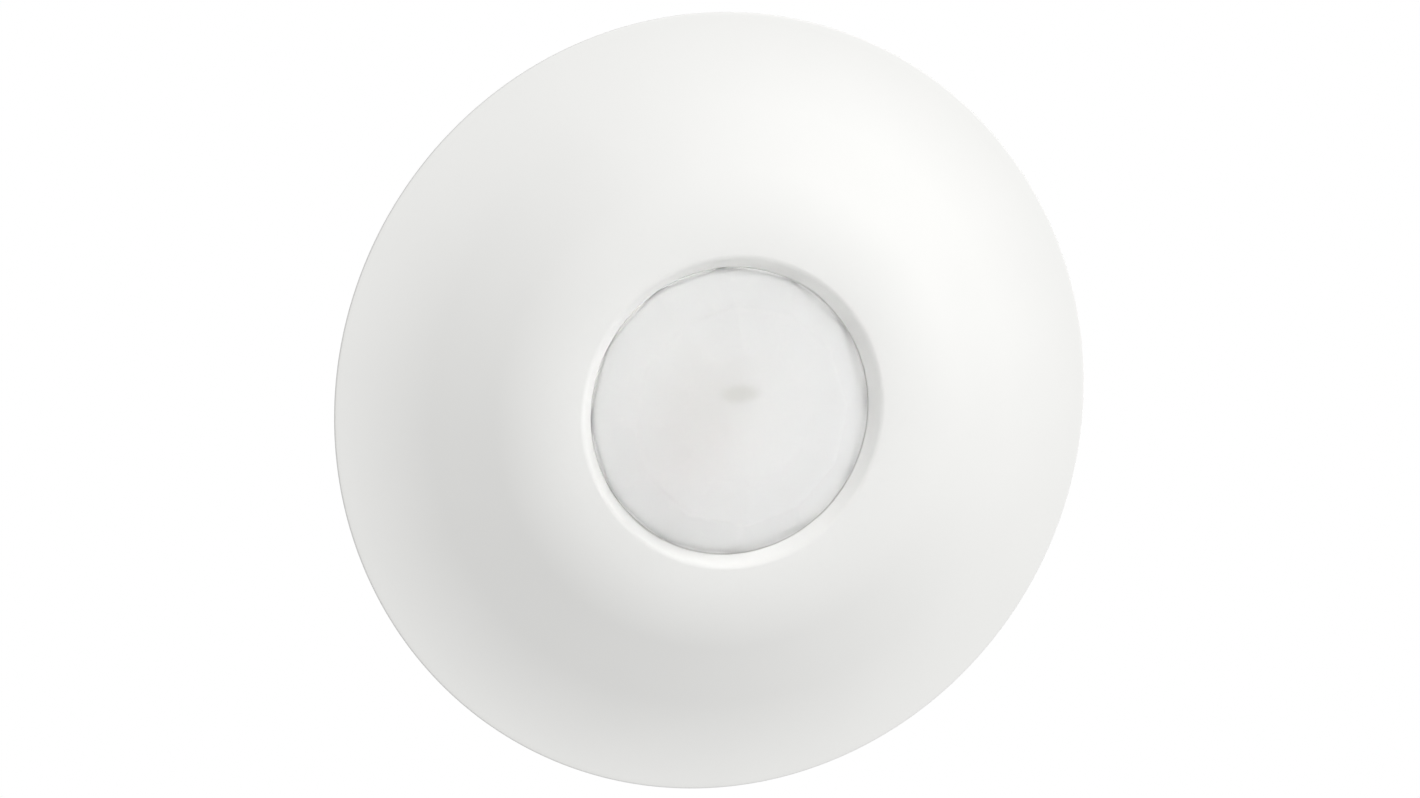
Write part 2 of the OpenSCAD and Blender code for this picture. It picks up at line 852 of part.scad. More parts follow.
module link_strips() {
    size = [link_count * link_pitch, link_w];
    color("black")
        difference() {
            union() {
                block(link_at, size, sensor_back_z, sensor_back_z + link_strip_h);
                block(link_at, size, power_z - link_socket_h, power_z);
            }
            at_links()
                rod([0, 0], link_r + run_fit, sensor_back_z - past, power_z + past);
        }
}

module link_pins() {
    color("gold")
        at_links()
            rod([0, 0], link_r, sensor_back_z, power_z);
}

// Places its children at each pole of the terminal block
module at_poles() {
    for (i = [0 : poles - 1])
        translate([(i - (poles - 1) / 2) * pole_pitch, terminal_y, 0])
            children();
}

module terminal_block() {
    top_z = power_back_z + terminal_h;
    face_y = terminal_d / 2;
    color("seagreen")
        difference() {
            block([0, terminal_y], [terminal_w, terminal_d], power_back_z, top_z);
            at_poles() {
                translate([-cage_w / 2 - fit, face_y - cage_d - clear, cage_z])
                    cube([cage_w + 2 * fit, cage_d + clear + past, cage_h + fit]);
                rod([0, 0], clamp_screw_r + fit, cage_z + cage_h, top_z + past);
            }
        }
}

module terminal_cages() {
    color("goldenrod")
        at_poles()
            translate([-cage_w / 2, terminal_d / 2 - cage_d - clear / 2, cage_z])
                difference() {
                    cube([cage_w, cage_d - clear, cage_h]);
                    translate([cage_wall, -past, cage_wall])
                        cube([cage_w - 2 * cage_wall, cage_d + 2 * past, cage_h - 2 * cage_wall]);
                }
}

module terminal_screws() {
    low_z = cage_z + cage_h;
    high_z = power_back_z + terminal_h - clamp_screw_low;
    color("silver")
        at_poles()
            difference() {
                rod([0, 0], clamp_screw_r, low_z, high_z);
                block([0, 0], [2 * clamp_screw_r + past, clamp_slot_w], high_z - clamp_slot_depth, high_z + past);
            }
}

module relay() {
    color("royalblue")
        block([0, relay_y], [relay_w, relay_d], power_back_z, power_back_z + relay_h);
}

module supply_core() {
    window_x = (supply_w - 4 * supply_leg) / 2;
    color("dimgray")
        difference() {
            block(supply_at, [supply_w, supply_d], power_back_z, power_back_z + supply_h);
            for (side = [-1, 1])
                block(supply_at + [side * (supply_leg + window_x / 2), 0], [window_x, supply_d + past],
                    power_back_z + supply_yoke, power_back_z + supply_h - supply_yoke);
        }
}

module supply_winding() {
    low_z = power_back_z + supply_yoke + fit;
    high_z = power_back_z + supply_h - supply_yoke - fit;
    color("gold")
        difference() {
            block(supply_at, [supply_w - 2 * supply_leg - 2 * fit, winding_d], low_z, high_z);
            block(supply_at, [2 * supply_leg + 2 * fit, supply_d + 2 * fit], low_z - past, high_z + past);
        }
}

module smoothing_capacitor() {
    high_z = power_back_z + smoothing_h;
    neck_z = power_back_z + smoothing_neck_z;
    color("midnightblue")
        difference() {
            rod(smoothing_at, smoothing_r, power_back_z, high_z);
            rod(smoothing_at, smoothing_r - smoothing_fold, high_z - smoothing_dish, high_z + past);
            translate([smoothing_at[0], smoothing_at[1], 0])
                ring(smoothing_r - smoothing_neck, smoothing_r + past, neck_z,
                    neck_z + smoothing_neck_h);
        }
}

module film_capacitor() {
    color("khaki")
        block(film_at, [film_w, film_d], power_back_z, power_back_z + film_h);
}

module surge_disc() {
    centre_z = power_back_z + surge_leg + surge_r;
    color("teal") {
        translate([surge_at[0], surge_at[1], centre_z])
            rotate([0, 90, 0])
                cylinder(r = surge_r, h = surge_t, center = true);
        for (side = [-1, 1])
            rod(surge_at + [0, side * surge_r / 2], surge_leg_r, power_back_z, centre_z);
    }
}

module fuse_box() {
    color("saddlebrown")
        block(fuse_at, [fuse_w, fuse_d], power_back_z, power_back_z + fuse_h);
}

module rear_cap() {
    rim_r = body_in_r - fit;
    color("white")
        difference() {
            union() {
                rotate_extrude()
                    polygon([[0, cap_z], [upper_r, cap_z], [upper_r, body_h - cap_edge],
                        [upper_r - cap_edge, body_h], [0, body_h]]);
                difference() {
                    ring(rim_r - cap_rim_w, rim_r, cap_z - cap_rim_h, cap_z + join);
                    around(boss_angles, boss_at)
                        rod([0, 0], boss_r + clear, 0, cap_z);
                    pocket(pocket_wall + clear);
                }
            }
            pocket(0);
            rod(grommet_at, grommet_neck_r, cap_z - past, body_h + past);
            around(boss_angles, boss_at) {
                rod([0, 0], cap_screw_r + fit, cap_z - past, body_h + past);
                rod([0, 0], cap_head_r + fit, body_h - cap_head_t, body_h + past);
            }
            for (i = vents)
                block([i * vent_pitch, supply_at[1]], [vent_w, vent_l], cap_z - past, body_h + past);
        }
}

module cap_screws() {
    color("silver")
        around(boss_angles, boss_at)
            difference() {
                union() {
                    rod([0, 0], cap_head_r, body_h - cap_head_t, body_h - fit);
                    rod([0, 0], cap_screw_r, cap_z - cap_screw_l + cap_screw_end, body_h - cap_head_t / 2);
                }
                for (turn = [0, 90])
                    rotate([0, 0, turn])
                        block([0, 0], cap_slot, body_h - cap_slot_depth, body_h + past);
            }
}

module cable_grommet() {
    color("dimgray")
        translate([grommet_at[0], grommet_at[1], 0])
            rotate_extrude()
                polygon([[grommet_bore_r, cap_z - grommet_lip_t], [grommet_lip_r, cap_z - grommet_lip_t],
                    [grommet_lip_r, cap_z], [grommet_neck_r, cap_z], [grommet_neck_r, body_h],
                    [grommet_lip_r, body_h], [grommet_lip_r - grommet_edge, body_h + grommet_lip_t],
                    [grommet_bore_r, body_h + grommet_lip_t]]);
}

// A claw in its own frame: its pin along Y at the origin, its strap along +X
module claw() {
    difference() {
        union() {
            for (side = [-1, 1])
                translate([0, side * (claw_w - eye_w) / 2, 0]) {
                    axle(eye_r, eye_w);
                    block([strap_x / 2, 0], [strap_x + join, eye_w], -claw_t / 2, claw_t / 2);
                }
            translate([strap_x, -claw_w / 2, -claw_t / 2])
                cube([claw_reach - tip_pad_l - strap_x, claw_w, claw_t]);
            translate([strap_x, -tip_w / 2, -claw_t / 2])
                cube([claw_reach - tip_pad_r / 2 - strap_x, tip_w, claw_t]);
            translate([claw_reach - tip_pad_l - strap_rib_l - past, -strap_rib_w / 2, 0])
                cube([strap_rib_l, strap_rib_w, claw_t / 2 + strap_rib_t]);
        }
        axle(pin_r + run_fit, claw_w + past);
    }
}

module claw_pad() {
    round_x = claw_reach - tip_pad_r / 2;
    difference() {
        union() {
            translate([round_x, 0, 0])
                axle(tip_pad_r, claw_w);
            translate([claw_reach - tip_pad_l + run_fit, -claw_w / 2, -tip_pad_t / 2])
                cube([tip_pad_l - tip_pad_r / 2, claw_w, tip_pad_t]);
        }
        translate([0, -tip_w / 2 - run_fit, -claw_t / 2 - run_fit])
            cube([round_x + run_fit, tip_w + 2 * run_fit, claw_t + 2 * run_fit]);
    }
}

module claw_right() {
    color("white")
        on_pin(0)
            rotate([0, claw_droop, 0])
                claw();
}

module claw_left() {
    color("white")
        on_pin(1)
            rotate([0, claw_droop, 0])
                claw();
}

module claw_pad_right() {
    color("dimgray")
        on_pin(0)
            rotate([0, claw_droop, 0])
                claw_pad();
}

module claw_pad_left() {
    color("dimgray")
        on_pin(1)
            rotate([0, claw_droop, 0])
                claw_pad();
}

module claw_pins() {
    color("silver")
        for (side = [0, 1])
            on_pin(side)
                axle(pin_r, pocket_w + 2 * pocket_wall);
}

module claw_spring_right() {
    color("silver")
        on_pin(0)
            wire(spring_path(), spring_wire / 2);
}

module claw_spring_left() {
    color("silver")
        on_pin(1)
            wire(spring_path(), spring_wire / 2);
}

front_cover();
lens();
lens_retainer();
retainer_screws();
housing_shell();
cover_clips();
time_dial();
lux_dial();
reach_dial();
dial_bases();
test_button();
switch_plunger();
switch_body();
sensor_board();
board_spacers();
board_screws();
sensor_can();
sensor_window();
sensor_spacer();
light_sensor();
status_lamp();
control_chips();
link_strips();
link_pins();
power_board();
terminal_block();
terminal_cages();
terminal_screws();
relay();
supply_core();
supply_winding();
smoothing_capacitor();
film_capacitor();
surge_disc();
fuse_box();
rear_cap();
cap_screws();
cable_grommet();
claw_left();
claw_right();
claw_pad_left();
claw_pad_right();
claw_pins();
claw_spring_left();
claw_spring_right();
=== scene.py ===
"""Looks of the flush ceiling presence detector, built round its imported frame."""

import logging
import math
from dataclasses import dataclass, field
from enum import Enum

import bmesh
import bpy
import numpy as np
from mathutils import Matrix, Vector


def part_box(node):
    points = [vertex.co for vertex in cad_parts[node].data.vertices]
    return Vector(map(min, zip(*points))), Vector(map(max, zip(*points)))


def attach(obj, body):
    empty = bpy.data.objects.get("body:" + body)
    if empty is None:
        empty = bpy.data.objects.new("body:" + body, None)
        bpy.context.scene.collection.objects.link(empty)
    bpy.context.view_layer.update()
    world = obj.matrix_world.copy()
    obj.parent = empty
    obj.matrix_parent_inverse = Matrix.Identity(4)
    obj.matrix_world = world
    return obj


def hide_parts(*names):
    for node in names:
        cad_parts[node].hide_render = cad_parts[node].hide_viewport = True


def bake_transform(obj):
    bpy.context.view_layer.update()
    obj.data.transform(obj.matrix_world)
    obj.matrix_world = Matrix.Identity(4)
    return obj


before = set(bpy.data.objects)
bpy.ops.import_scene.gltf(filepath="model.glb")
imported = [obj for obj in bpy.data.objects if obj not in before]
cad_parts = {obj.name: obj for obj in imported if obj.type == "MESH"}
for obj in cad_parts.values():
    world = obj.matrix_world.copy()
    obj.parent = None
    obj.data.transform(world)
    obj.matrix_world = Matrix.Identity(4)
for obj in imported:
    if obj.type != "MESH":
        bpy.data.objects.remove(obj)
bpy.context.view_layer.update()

# The classes give sizes in millimetres and angles in degrees, apart from the studio's metres
MM = 0.001
TURN_DEG = 360
FULL_TURN = 2 * math.pi
# Points closer than this, in metres, are one
MERGE = 1e-6
# Faces of a node's solid that bend less than this are one face
FLAT_DEG = 0.5
# Edges that bend more than this are sharp
SHARP_DEG = 40.0
ROUNDING_STEPS = 2
# Rings on the half ball that closes a tube's end
CAP_RINGS = 6
# Octaves of the noise in the grain and in the clouds of tone
GRAIN_DETAIL = 3.0
CLOUD_DETAIL = 2.0
# A wave texture repeats every 2 pi / 20 of its scaled coordinate
WAVE_REPEAT = FULL_TURN / 20
# Sockets of a Mix node that mixes colours
MIX_SHARE, MIX_FROM, MIX_TO, MIX_RESULT = 0, 6, 7, 2

Tree = bpy.types.NodeTree
Socket = bpy.types.NodeSocket
LOG = logging.getLogger("detector")


class Body(Enum):
    """The bodies that pieces ride on."""

    HOUSING = "housing"
    COVER = "cover"
    LEFT_CLAW = "left_claw"
    RIGHT_CLAW = "right_claw"
    TIME_KNOB = "time_knob"
    LUX_KNOB = "lux_knob"
    REACH_KNOB = "reach_knob"
    TEST_KEY = "test_key"


class Lay(Enum):
    """Which way the streaks of a drawn, rolled or ground surface run, as a stretch of the pattern."""

    EVEN = (1.0, 1.0, 1.0)
    ALONG_Y = (1.0, 0.06, 1.0)
    ALONG_Z = (1.0, 1.0, 0.06)


def linear(colour: str) -> tuple[float, float, float, float]:
    """Turns a colour to linear light by the sRGB standard's curve.

    Args:
        colour: The sRGB colour in hex.

    Returns:
        Red, green and blue as linear light, and full opacity.
    """
    parts = np.array([int(colour[i:i + 2], 16) for i in (1, 3, 5)]) / 255
    light = np.where(parts <= 0.04045, parts / 12.92, ((parts + 0.055) / 1.055) ** 2.4)
    return (*light.tolist(), 1.0)


def per_metre(size_mm: float) -> float:
    """Gives the texture scale at which one cell of a pattern is that many millimetres wide."""
    return 1 / (size_mm * MM)


def add_node(tree: Tree, kind: str, settings: dict, links: dict) -> bpy.types.Node:
    """Adds a shader node with its settings and its links.

    Args:
        tree: The node tree that gets the node.
        kind: Blender's name of the node type.
        settings: Values by input name, input number or property name.
        links: Output sockets by the input name or number that they feed.

    Returns:
        The new node.
    """
    node = tree.nodes.new(kind)
    for key, value in settings.items():
        if isinstance(key, int) or key in node.inputs:
            node.inputs[key].default_value = value
        else:
            setattr(node, key, value)
    for key, socket in links.items():
        tree.links.new(socket, node.inputs[key])
    return node


@dataclass(frozen=True)
class Finish:
    """A surface finish whose tone and gloss vary a little over the piece.

    The tone drifts between colour and shade in soft clouds, and a fine grain tilts the surface
    and changes its gloss. Real moulded, rolled and drawn grain is some hundredths of a millimetre
    wide, too fine to show, so it is drawn as coarse as it needs to be.
    """

    name: str
    colour: str
    shade: str
    roughness: float
    ior: float = 1.53
    metallic: float = 0.0
    transmission: float = 0.0
    coat: float = 0.0
    cloud_mm: float = 14.0
    grain_mm: float = 0.45
    grain_depth_mm: float = 0.004
    gloss_spread: float = 0.06
    lay: Lay = Lay.EVEN

    def material(self) -> bpy.types.Material:
        """Makes the material the first time, and finds it again after that.

        Returns:
            The finish's one material.
        """
        made = bpy.data.materials.get(self.name)
        if made is None:
            made = bpy.data.materials.new(self.name)
            made.use_nodes = True
            made.node_tree.nodes.clear()
            self.wire(made.node_tree)
        return made

    def wire(self, tree: Tree) -> None:
        """Builds the nodes from the pattern to the output.

        Args:
            tree: The material's empty node tree.
        """
        place = add_node(tree, "ShaderNodeTexCoord", {}, {}).outputs["Object"]
        tone = self.tone(tree, place)
        grain = self.grain(tree, place)
        gloss = add_node(tree, "ShaderNodeMapRange", {
            "To Min": self.roughness - self.gloss_spread,
            "To Max": self.roughness + self.gloss_spread,
        }, {"Value": grain}).outputs[0]
        bump = add_node(tree, "ShaderNodeBump", {"Distance": self.grain_depth_mm * MM}, {"Height": grain})
        settings = {"Metallic": self.metallic, "Transmission Weight": self.transmission,
                    "Coat Weight": self.coat}
        # A metal keeps the default
        if not self.metallic:
            settings["IOR"] = self.ior
        shader = add_node(tree, "ShaderNodeBsdfPrincipled", settings, {
            "Base Color": tone, "Roughness": gloss, "Normal": bump.outputs[0]})
        add_node(tree, "ShaderNodeOutputMaterial", {}, {"Surface": shader.outputs[0]})

    def grain(self, tree: Tree, place: Socket) -> Socket:
        """Gives the fine grain as a height from 0 to 1, stretched along its lay."""
        turned = add_node(tree, "ShaderNodeMapping", {"Scale": self.lay.value}, {"Vector": place})
        return add_node(tree, "ShaderNodeTexNoise", {
            "Scale": per_metre(self.grain_mm), "Detail": GRAIN_DETAIL},
            {"Vector": turned.outputs[0]}).outputs[0]

    def tone(self, tree: Tree, place: Socket) -> Socket:
        """Gives the colour, drifting between the finish's two tones in soft clouds."""
        cloud = add_node(tree, "ShaderNodeTexNoise", {
            "Scale": per_metre(self.cloud_mm), "Detail": CLOUD_DETAIL}, {"Vector": place})
        return add_node(tree, "ShaderNodeMix", {
            "data_type": "RGBA", MIX_FROM: linear(self.colour), MIX_TO: linear(self.shade)},
            {MIX_SHARE: cloud.outputs[0]}).outputs[MIX_RESULT]


@dataclass(frozen=True)
class LensFinish(Finish):
    """Milky plastic with one faint, soft painted shade where the dark sensor behind would show through."""

    # Colour of the painted shade that stands for the sensor seen through the lens, and where it lies
    mark: str = "#F4F4F2"
    sensor_shade_at_mm: tuple[float, float] = (-2.7, 2.7)
    sensor_shade_half_mm: tuple[float, float] = (1.1, 2.5)
    sensor_shade_turn_deg: float = -28.0
    fade_start: float = 0.5
    fade_end: float = 1.5

    def tone(self, tree: Tree, place: Socket) -> Socket:
        """Paints shade into the milky tone inside an ellipse, standing for the dark sensor seen through the
        lens; it fades out at its edge, at any depth.

        Args:
            tree: The material's node tree.
            place: The point on the piece.

        Returns:
            The colour there.
        """
        milk = super().tone(tree, place)
        at, half = self.sensor_shade_at_mm, self.sensor_shade_half_mm
        inside = add_node(tree, "ShaderNodeMapping", {
            "vector_type": "TEXTURE", "Location": (at[0] * MM, at[1] * MM, 0),
            "Rotation": (0, 0, math.radians(self.sensor_shade_turn_deg)), "Scale": (half[0] * MM, half[1] * MM, 1)},
            {"Vector": place})
        away = add_node(tree, "ShaderNodeVectorMath", {"operation": "LENGTH"}, {0: inside.outputs[0]})
        sensor_shade_share = add_node(tree, "ShaderNodeMapRange", {
            "interpolation_type": "SMOOTHSTEP", "From Min": self.fade_start, "From Max": self.fade_end,
            "To Min": 1.0, "To Max": 0.0}, {"Value": away.outputs["Value"]})
        return add_node(tree, "ShaderNodeMix", {"data_type": "RGBA", MIX_TO: linear(self.mark)},
                        {MIX_SHARE: sensor_shade_share.outputs[0], MIX_FROM: milk}).outputs[MIX_RESULT]


@dataclass(frozen=True)
class BoardFinish(Finish):
    """Solder mask over copper: the tracks show through it as paler lines in two directions."""

    track: str = "#3E9A62"
    track_pitch_mm: float = 2.4
    track_width_mm: float = 0.5
    run_pitches: float = 3.0
    row_pitches: float = 1.0
    edge_blur: float = 0.1

    def tone(self, tree: Tree, place: Socket) -> Socket:
        """Lays a pattern of tracks over the clouded mask.

        Args:
            tree: The material's node tree.
            place: The point on the piece.

        Returns:
            The colour there.
        """
        mask = super().tone(tree, place)
        tracks = add_node(tree, "ShaderNodeTexBrick", {
            "Scale": per_metre(self.track_pitch_mm),
            "Mortar Size": self.track_width_mm / self.track_pitch_mm / 2, "Mortar Smooth": self.edge_blur,
            "Brick Width": self.run_pitches, "Row Height": self.row_pitches}, {"Vector": place})
        return add_node(tree, "ShaderNodeMix", {"data_type": "RGBA", MIX_TO: linear(self.track)},
                        {MIX_SHARE: tracks.outputs["Fac"], MIX_FROM: mask}).outputs[MIX_RESULT]


@dataclass(frozen=True)
class WindingFinish(Finish):
    """Enamelled wire wound in layers: round turns, one wire apart, run across the height."""

    wire_mm: float = 0.4

    def grain(self, tree: Tree, place: Socket) -> Socket:
        """Gives the turns as a wave along the height, one period to a wire."""
        return add_node(tree, "ShaderNodeTexWave", {
            "bands_direction": "Z", "Scale": WAVE_REPEAT * per_metre(self.wire_mm)},
            {"Vector": place}).outputs[1]


# ABS, injection moulded in a fine-blasted tool: near white and even, with no more than a soft sheen
COVER_ABS = Finish("abs_matt_white", "#EDEDEB", "#EAEAE8", 0.64, grain_mm=0.5, grain_depth_mm=0.0015,
                   gloss_spread=0.03)
# High-density polyethylene, moulded thin: milky, so most light behind it comes through, well blurred, with a
# soft painted shade over the sensor
LENS_HDPE = LensFinish("polyethylene_milky", "#FFFFFF", "#FEFEFE", 0.95, ior=1.42, transmission=0.92,
                       grain_mm=0.6, grain_depth_mm=0.002, gloss_spread=0.04)
# The same polyethylene seen along its collar and flange: too deep for light to pass, so a soft white
COLLAR_HDPE = Finish("polyethylene_deep", "#EDEDEB", "#E9E9E7", 0.60, ior=1.50, grain_mm=0.6,
                     grain_depth_mm=0.002)
# Polycarbonate blend, moulded in a spark-eroded tool: white with a fine matt grain
HOUSING_PC = Finish("polycarbonate_matt_white", "#F1F1F0", "#EDEDEC", 0.52, ior=1.58, grain_mm=0.7,
                    grain_depth_mm=0.012)
# The same blend in the cap's own tool: a shade greyer
CAP_PC = Finish("polycarbonate_matt_grey", "#DCDCDA", "#D5D5D2", 0.50, ior=1.58, grain_mm=0.7,
                grain_depth_mm=0.012)
# The same blend, between the housing and the cap in tone: the ring's own grey, which also paints shade into
# the gap round the lens
RING_PC = Finish("polycarbonate_pale_grey", "#E6E6E3", "#E2E2DF", 0.50, ior=1.58, grain_mm=0.7,
                 grain_depth_mm=0.012)
# Acetal, moulded and tough: the claws, an off-white with a waxy sheen
CLAW_ACETAL = Finish("acetal_white", "#E2E1DC", "#DAD9D3", 0.36, ior=1.48, grain_mm=0.6,
                     grain_depth_mm=0.006)
# Soft elastomer, moulded: dark grey, dull, with a slightly dusty bloom
PAD_ELASTOMER = Finish("elastomer_grey", "#55585A", "#4A4D4F", 0.72, ior=1.50, cloud_mm=5.0, grain_mm=0.5,
                       grain_depth_mm=0.02)
# Synthetic rubber, moulded: mid grey and dull
GROMMET_RUBBER = Finish("rubber_grey", "#6A6D70", "#5E6164", 0.70, ior=1.52, cloud_mm=6.0, grain_mm=0.4,
                        grain_depth_mm=0.016)
# Zinc-plated steel, turned: pale bluish metal with an uneven shine
ZINC_STEEL = Finish("steel_zinc_plated", "#C9CCD0", "#B7BBC0", 0.32, metallic=1.0, cloud_mm=3.0,
                    grain_mm=0.25, grain_depth_mm=0.002, gloss_spread=0.08)
# Steel pins, drawn and ground: bright, with fine lines along the pin
PIN_STEEL = Finish("steel_ground", "#C4C6C9", "#B0B3B7", 0.26, metallic=1.0, cloud_mm=3.0, grain_mm=0.2,
                   grain_depth_mm=0.002, lay=Lay.ALONG_Y)
# Stainless spring wire, drawn through a die: greyer, with a fine uneven shine
SPRING_WIRE = Finish("spring_steel_drawn", "#B4B6B9", "#8F9296", 0.30, metallic=1.0, cloud_mm=2.5,
                     grain_mm=0.15, grain_depth_mm=0.002, gloss_spread=0.10)
# Spring steel strip, cold rolled: even grey with fine lines along the strip
CLIP_STRIP = Finish("spring_steel_rolled", "#B9BBBE", "#9DA0A4", 0.30, metallic=1.0, cloud_mm=4.0,
                    grain_mm=0.2, grain_depth_mm=0.002, lay=Lay.ALONG_Z)
# Nickel-plated can, drawn from sheet: bright and smooth
CAN_NICKEL = Finish("nickel_bright", "#D2CFC8", "#C4C1BA", 0.18, metallic=1.0, cloud_mm=4.0, grain_mm=0.2,
                    grain_depth_mm=0.001, gloss_spread=0.05)
# Brass, stamped from rolled strip: warm yellow with fine lines one way
BRASS = Finish("brass_stamped", "#D9B777", "#C29F60", 0.34, metallic=1.0, cloud_mm=3.0, grain_mm=0.3,
               grain_depth_mm=0.003, lay=Lay.ALONG_Y)
# Coated silicon filter: dark, polished, almost mirror-like
FILTER_SILICON = Finish("silicon_filter", "#17161A", "#1E1B22", 0.10, ior=3.4, cloud_mm=2.0, grain_mm=0.6,
                        grain_depth_mm=0.0005, gloss_spread=0.02)
# Glass-filled nylon, moulded: near black with a dull sheen
DARK_NYLON = Finish("nylon_black", "#26272A", "#1F2023", 0.48, cloud_mm=5.0, grain_depth_mm=0.008)
# Acetal, moulded: mid grey and slightly waxy
GREY_ACETAL = Finish("acetal_grey", "#8D9092", "#828587", 0.42, ior=1.48, cloud_mm=5.0, grain_depth_mm=0.006)
# Undyed nylon, moulded: ivory with a soft sheen
IVORY_NYLON = Finish("nylon_ivory", "#E2DAC4", "#D9D0B8", 0.46, cloud_mm=5.0, grain_depth_mm=0.006)
# ABS, moulded in a smoother tool: orange with a satin gloss
ORANGE_ABS = Finish("abs_orange", "#DE6A2C", "#D46124", 0.34, cloud_mm=4.0, grain_depth_mm=0.003)
# Two-part ink, pad printed in one thick pass: grey, with a slightly uneven gloss
PAD_INK = Finish("pad_ink_grey", "#84878A", "#797C7F", 0.55, ior=1.50, cloud_mm=1.5, grain_mm=0.2,
                 grain_depth_mm=0.004)
# Glass-epoxy laminate under green solder mask, screen printed and cured: satin, over paler tracks
BOARD_EPOXY = BoardFinish("glass_epoxy_green", "#23724A", "#1E6641", 0.36, ior=1.55, cloud_mm=9.0,
                          grain_mm=0.6, grain_depth_mm=0.006)
# The same laminate under white mask, which lights the inside of the lens
BOARD_WHITE = BoardFinish("glass_epoxy_white", "#F9F9F8", "#F7F7F6", 0.36, ior=1.55, cloud_mm=9.0,
                          grain_mm=0.6, grain_depth_mm=0.006, track="#F0F0EE")
# Nylon, moulded: light green with a satin sheen
TERMINAL_NYLON = Finish("nylon_green", "#3F9A63", "#37905A", 0.44, cloud_mm=6.0, grain_depth_mm=0.006)
# Polyester, moulded: blue with a satin gloss
RELAY_CASE = Finish("polyester_blue", "#2B5FA8", "#27589E", 0.36, cloud_mm=8.0, grain_depth_mm=0.006)
# Sintered ferrite, ground on its faces: dark grey and slightly porous
FERRITE = Finish("ferrite_sintered", "#3B3B3D", "#2E2E30", 0.62, ior=2.0, cloud_mm=1.2, grain_mm=0.25,
                 grain_depth_mm=0.02)
# Copper wire under amber enamel, wound: glossy turns side by side
WINDING_ENAMEL = WindingFinish("copper_enamelled", "#D69A2D", "#C2852A", 0.30, ior=1.6, coat=0.4,
                               cloud_mm=3.0, grain_depth_mm=0.08)
# PVC sleeve, shrunk on with heat: navy and glossy
SLEEVE_PVC = Finish("sleeve_navy", "#1F2B52", "#1A2548", 0.28, cloud_mm=6.0, grain_depth_mm=0.004)
# Epoxy, cast round wound film: pale yellow with a satin gloss
FILM_EPOXY = Finish("epoxy_yellow", "#E5C75A", "#DBBB4C", 0.34, cloud_mm=5.0, grain_depth_mm=0.010)
# Epoxy, dipped and cured: teal, glossy and slightly lumpy
SURGE_EPOXY = Finish("epoxy_teal", "#2C8F95", "#268388", 0.30, cloud_mm=3.0, grain_mm=0.8,
                     grain_depth_mm=0.020)
# Phenolic, moulded under heat: brown with a dull sheen
FUSE_CASE = Finish("phenolic_brown", "#6E4630", "#633D28", 0.46, cloud_mm=4.0, grain_depth_mm=0.008)
# Clear epoxy with a red tint, cast: glossy, and light passes into it
LAMP_EPOXY = Finish("epoxy_red_clear", "#E39A95", "#DB8F8A", 0.12, ior=1.55, transmission=0.6,
                    grain_depth_mm=0.001, gloss_spread=0.03)


@dataclass
class Surface:
    """A closed form as points in millimetres and four-cornered faces."""

    points: np.ndarray
    faces: np.ndarray

    @classmethod
    def grid(cls, points: np.ndarray, wrap_rows: bool, wrap_columns: bool) -> "Surface":
        """Joins a grid of points to quads, each from a point, its neighbours and the one across.

        Args:
            points: The grid, as rows by columns by three coordinates.
            wrap_rows: Whether the last row joins the first.
            wrap_columns: Whether the last column joins the first.

        Returns:
            The surface through the grid.
        """
        rows, columns = points.shape[:2]
        row = np.arange(rows if wrap_rows else rows - 1)[:, None]
        column = np.arange(columns if wrap_columns else columns - 1)[None, :]
        next_row = (row + 1) % rows
        next_column = (column + 1) % columns
        corners = [row * columns + column, row * columns + next_column,
                   next_row * columns + next_column, next_row * columns + column]
        return cls(points.reshape(-1, 3), np.stack(corners, -1).reshape(-1, 4))

    @classmethod
    def joined(cls, forms: list["Surface"]) -> "Surface":
        """Puts several forms into one, each one's faces counted on from the points before it.

        Args:
            forms: The forms, in order.

        Returns:
            The one form.
        """
        starts = np.cumsum([0] + [len(form.points) for form in forms[:-1]])
        faces = [form.faces + start for form, start in zip(forms, starts)]
        return cls(np.vstack([form.points for form in forms]), np.vstack(faces))

    def turned(self, degrees: float) -> "Surface":
        """Turns the form about the Z axis, by the sine and cosine of the angle.

        Args:
            degrees: The angle, anticlockwise seen from above.

        Returns:
            The turned form.
        """
        a = math.radians(degrees)
        turn = np.array([[math.cos(a), -math.sin(a), 0], [math.sin(a), math.cos(a), 0], [0, 0, 1]])
        return Surface(self.points @ turn.T, self.faces)

    def moved(self, x: float, y: float, z: float) -> "Surface":
        """Shifts the form."""
        return Surface(self.points + np.array([x, y, z]), self.faces)

    def piece(self, name: str, sharp_deg: float = SHARP_DEG) -> bpy.types.Object:
        """Makes an object with a closed, outward-facing mesh in metres.

        Args:
            name: The name of the object and its mesh.
            sharp_deg: Edges that bend more than this are shaded sharp.

        Returns:
            The object, not yet in the scene.
        """
        made = bpy.data.meshes.new(name)
        made.from_pydata((self.points * MM).tolist(), [], self.faces.tolist())
        shell = bmesh.new()
        shell.from_mesh(made)
        bmesh.ops.remove_doubles(shell, verts=shell.verts, dist=MERGE)
        bmesh.ops.recalc_face_normals(shell, faces=shell.faces)
        shell.to_mesh(made)
        shell.free()
        made.shade_smooth()
        made.set_sharp_from_angle(angle=math.radians(sharp_deg))
        return bpy.data.objects.new(name, made)


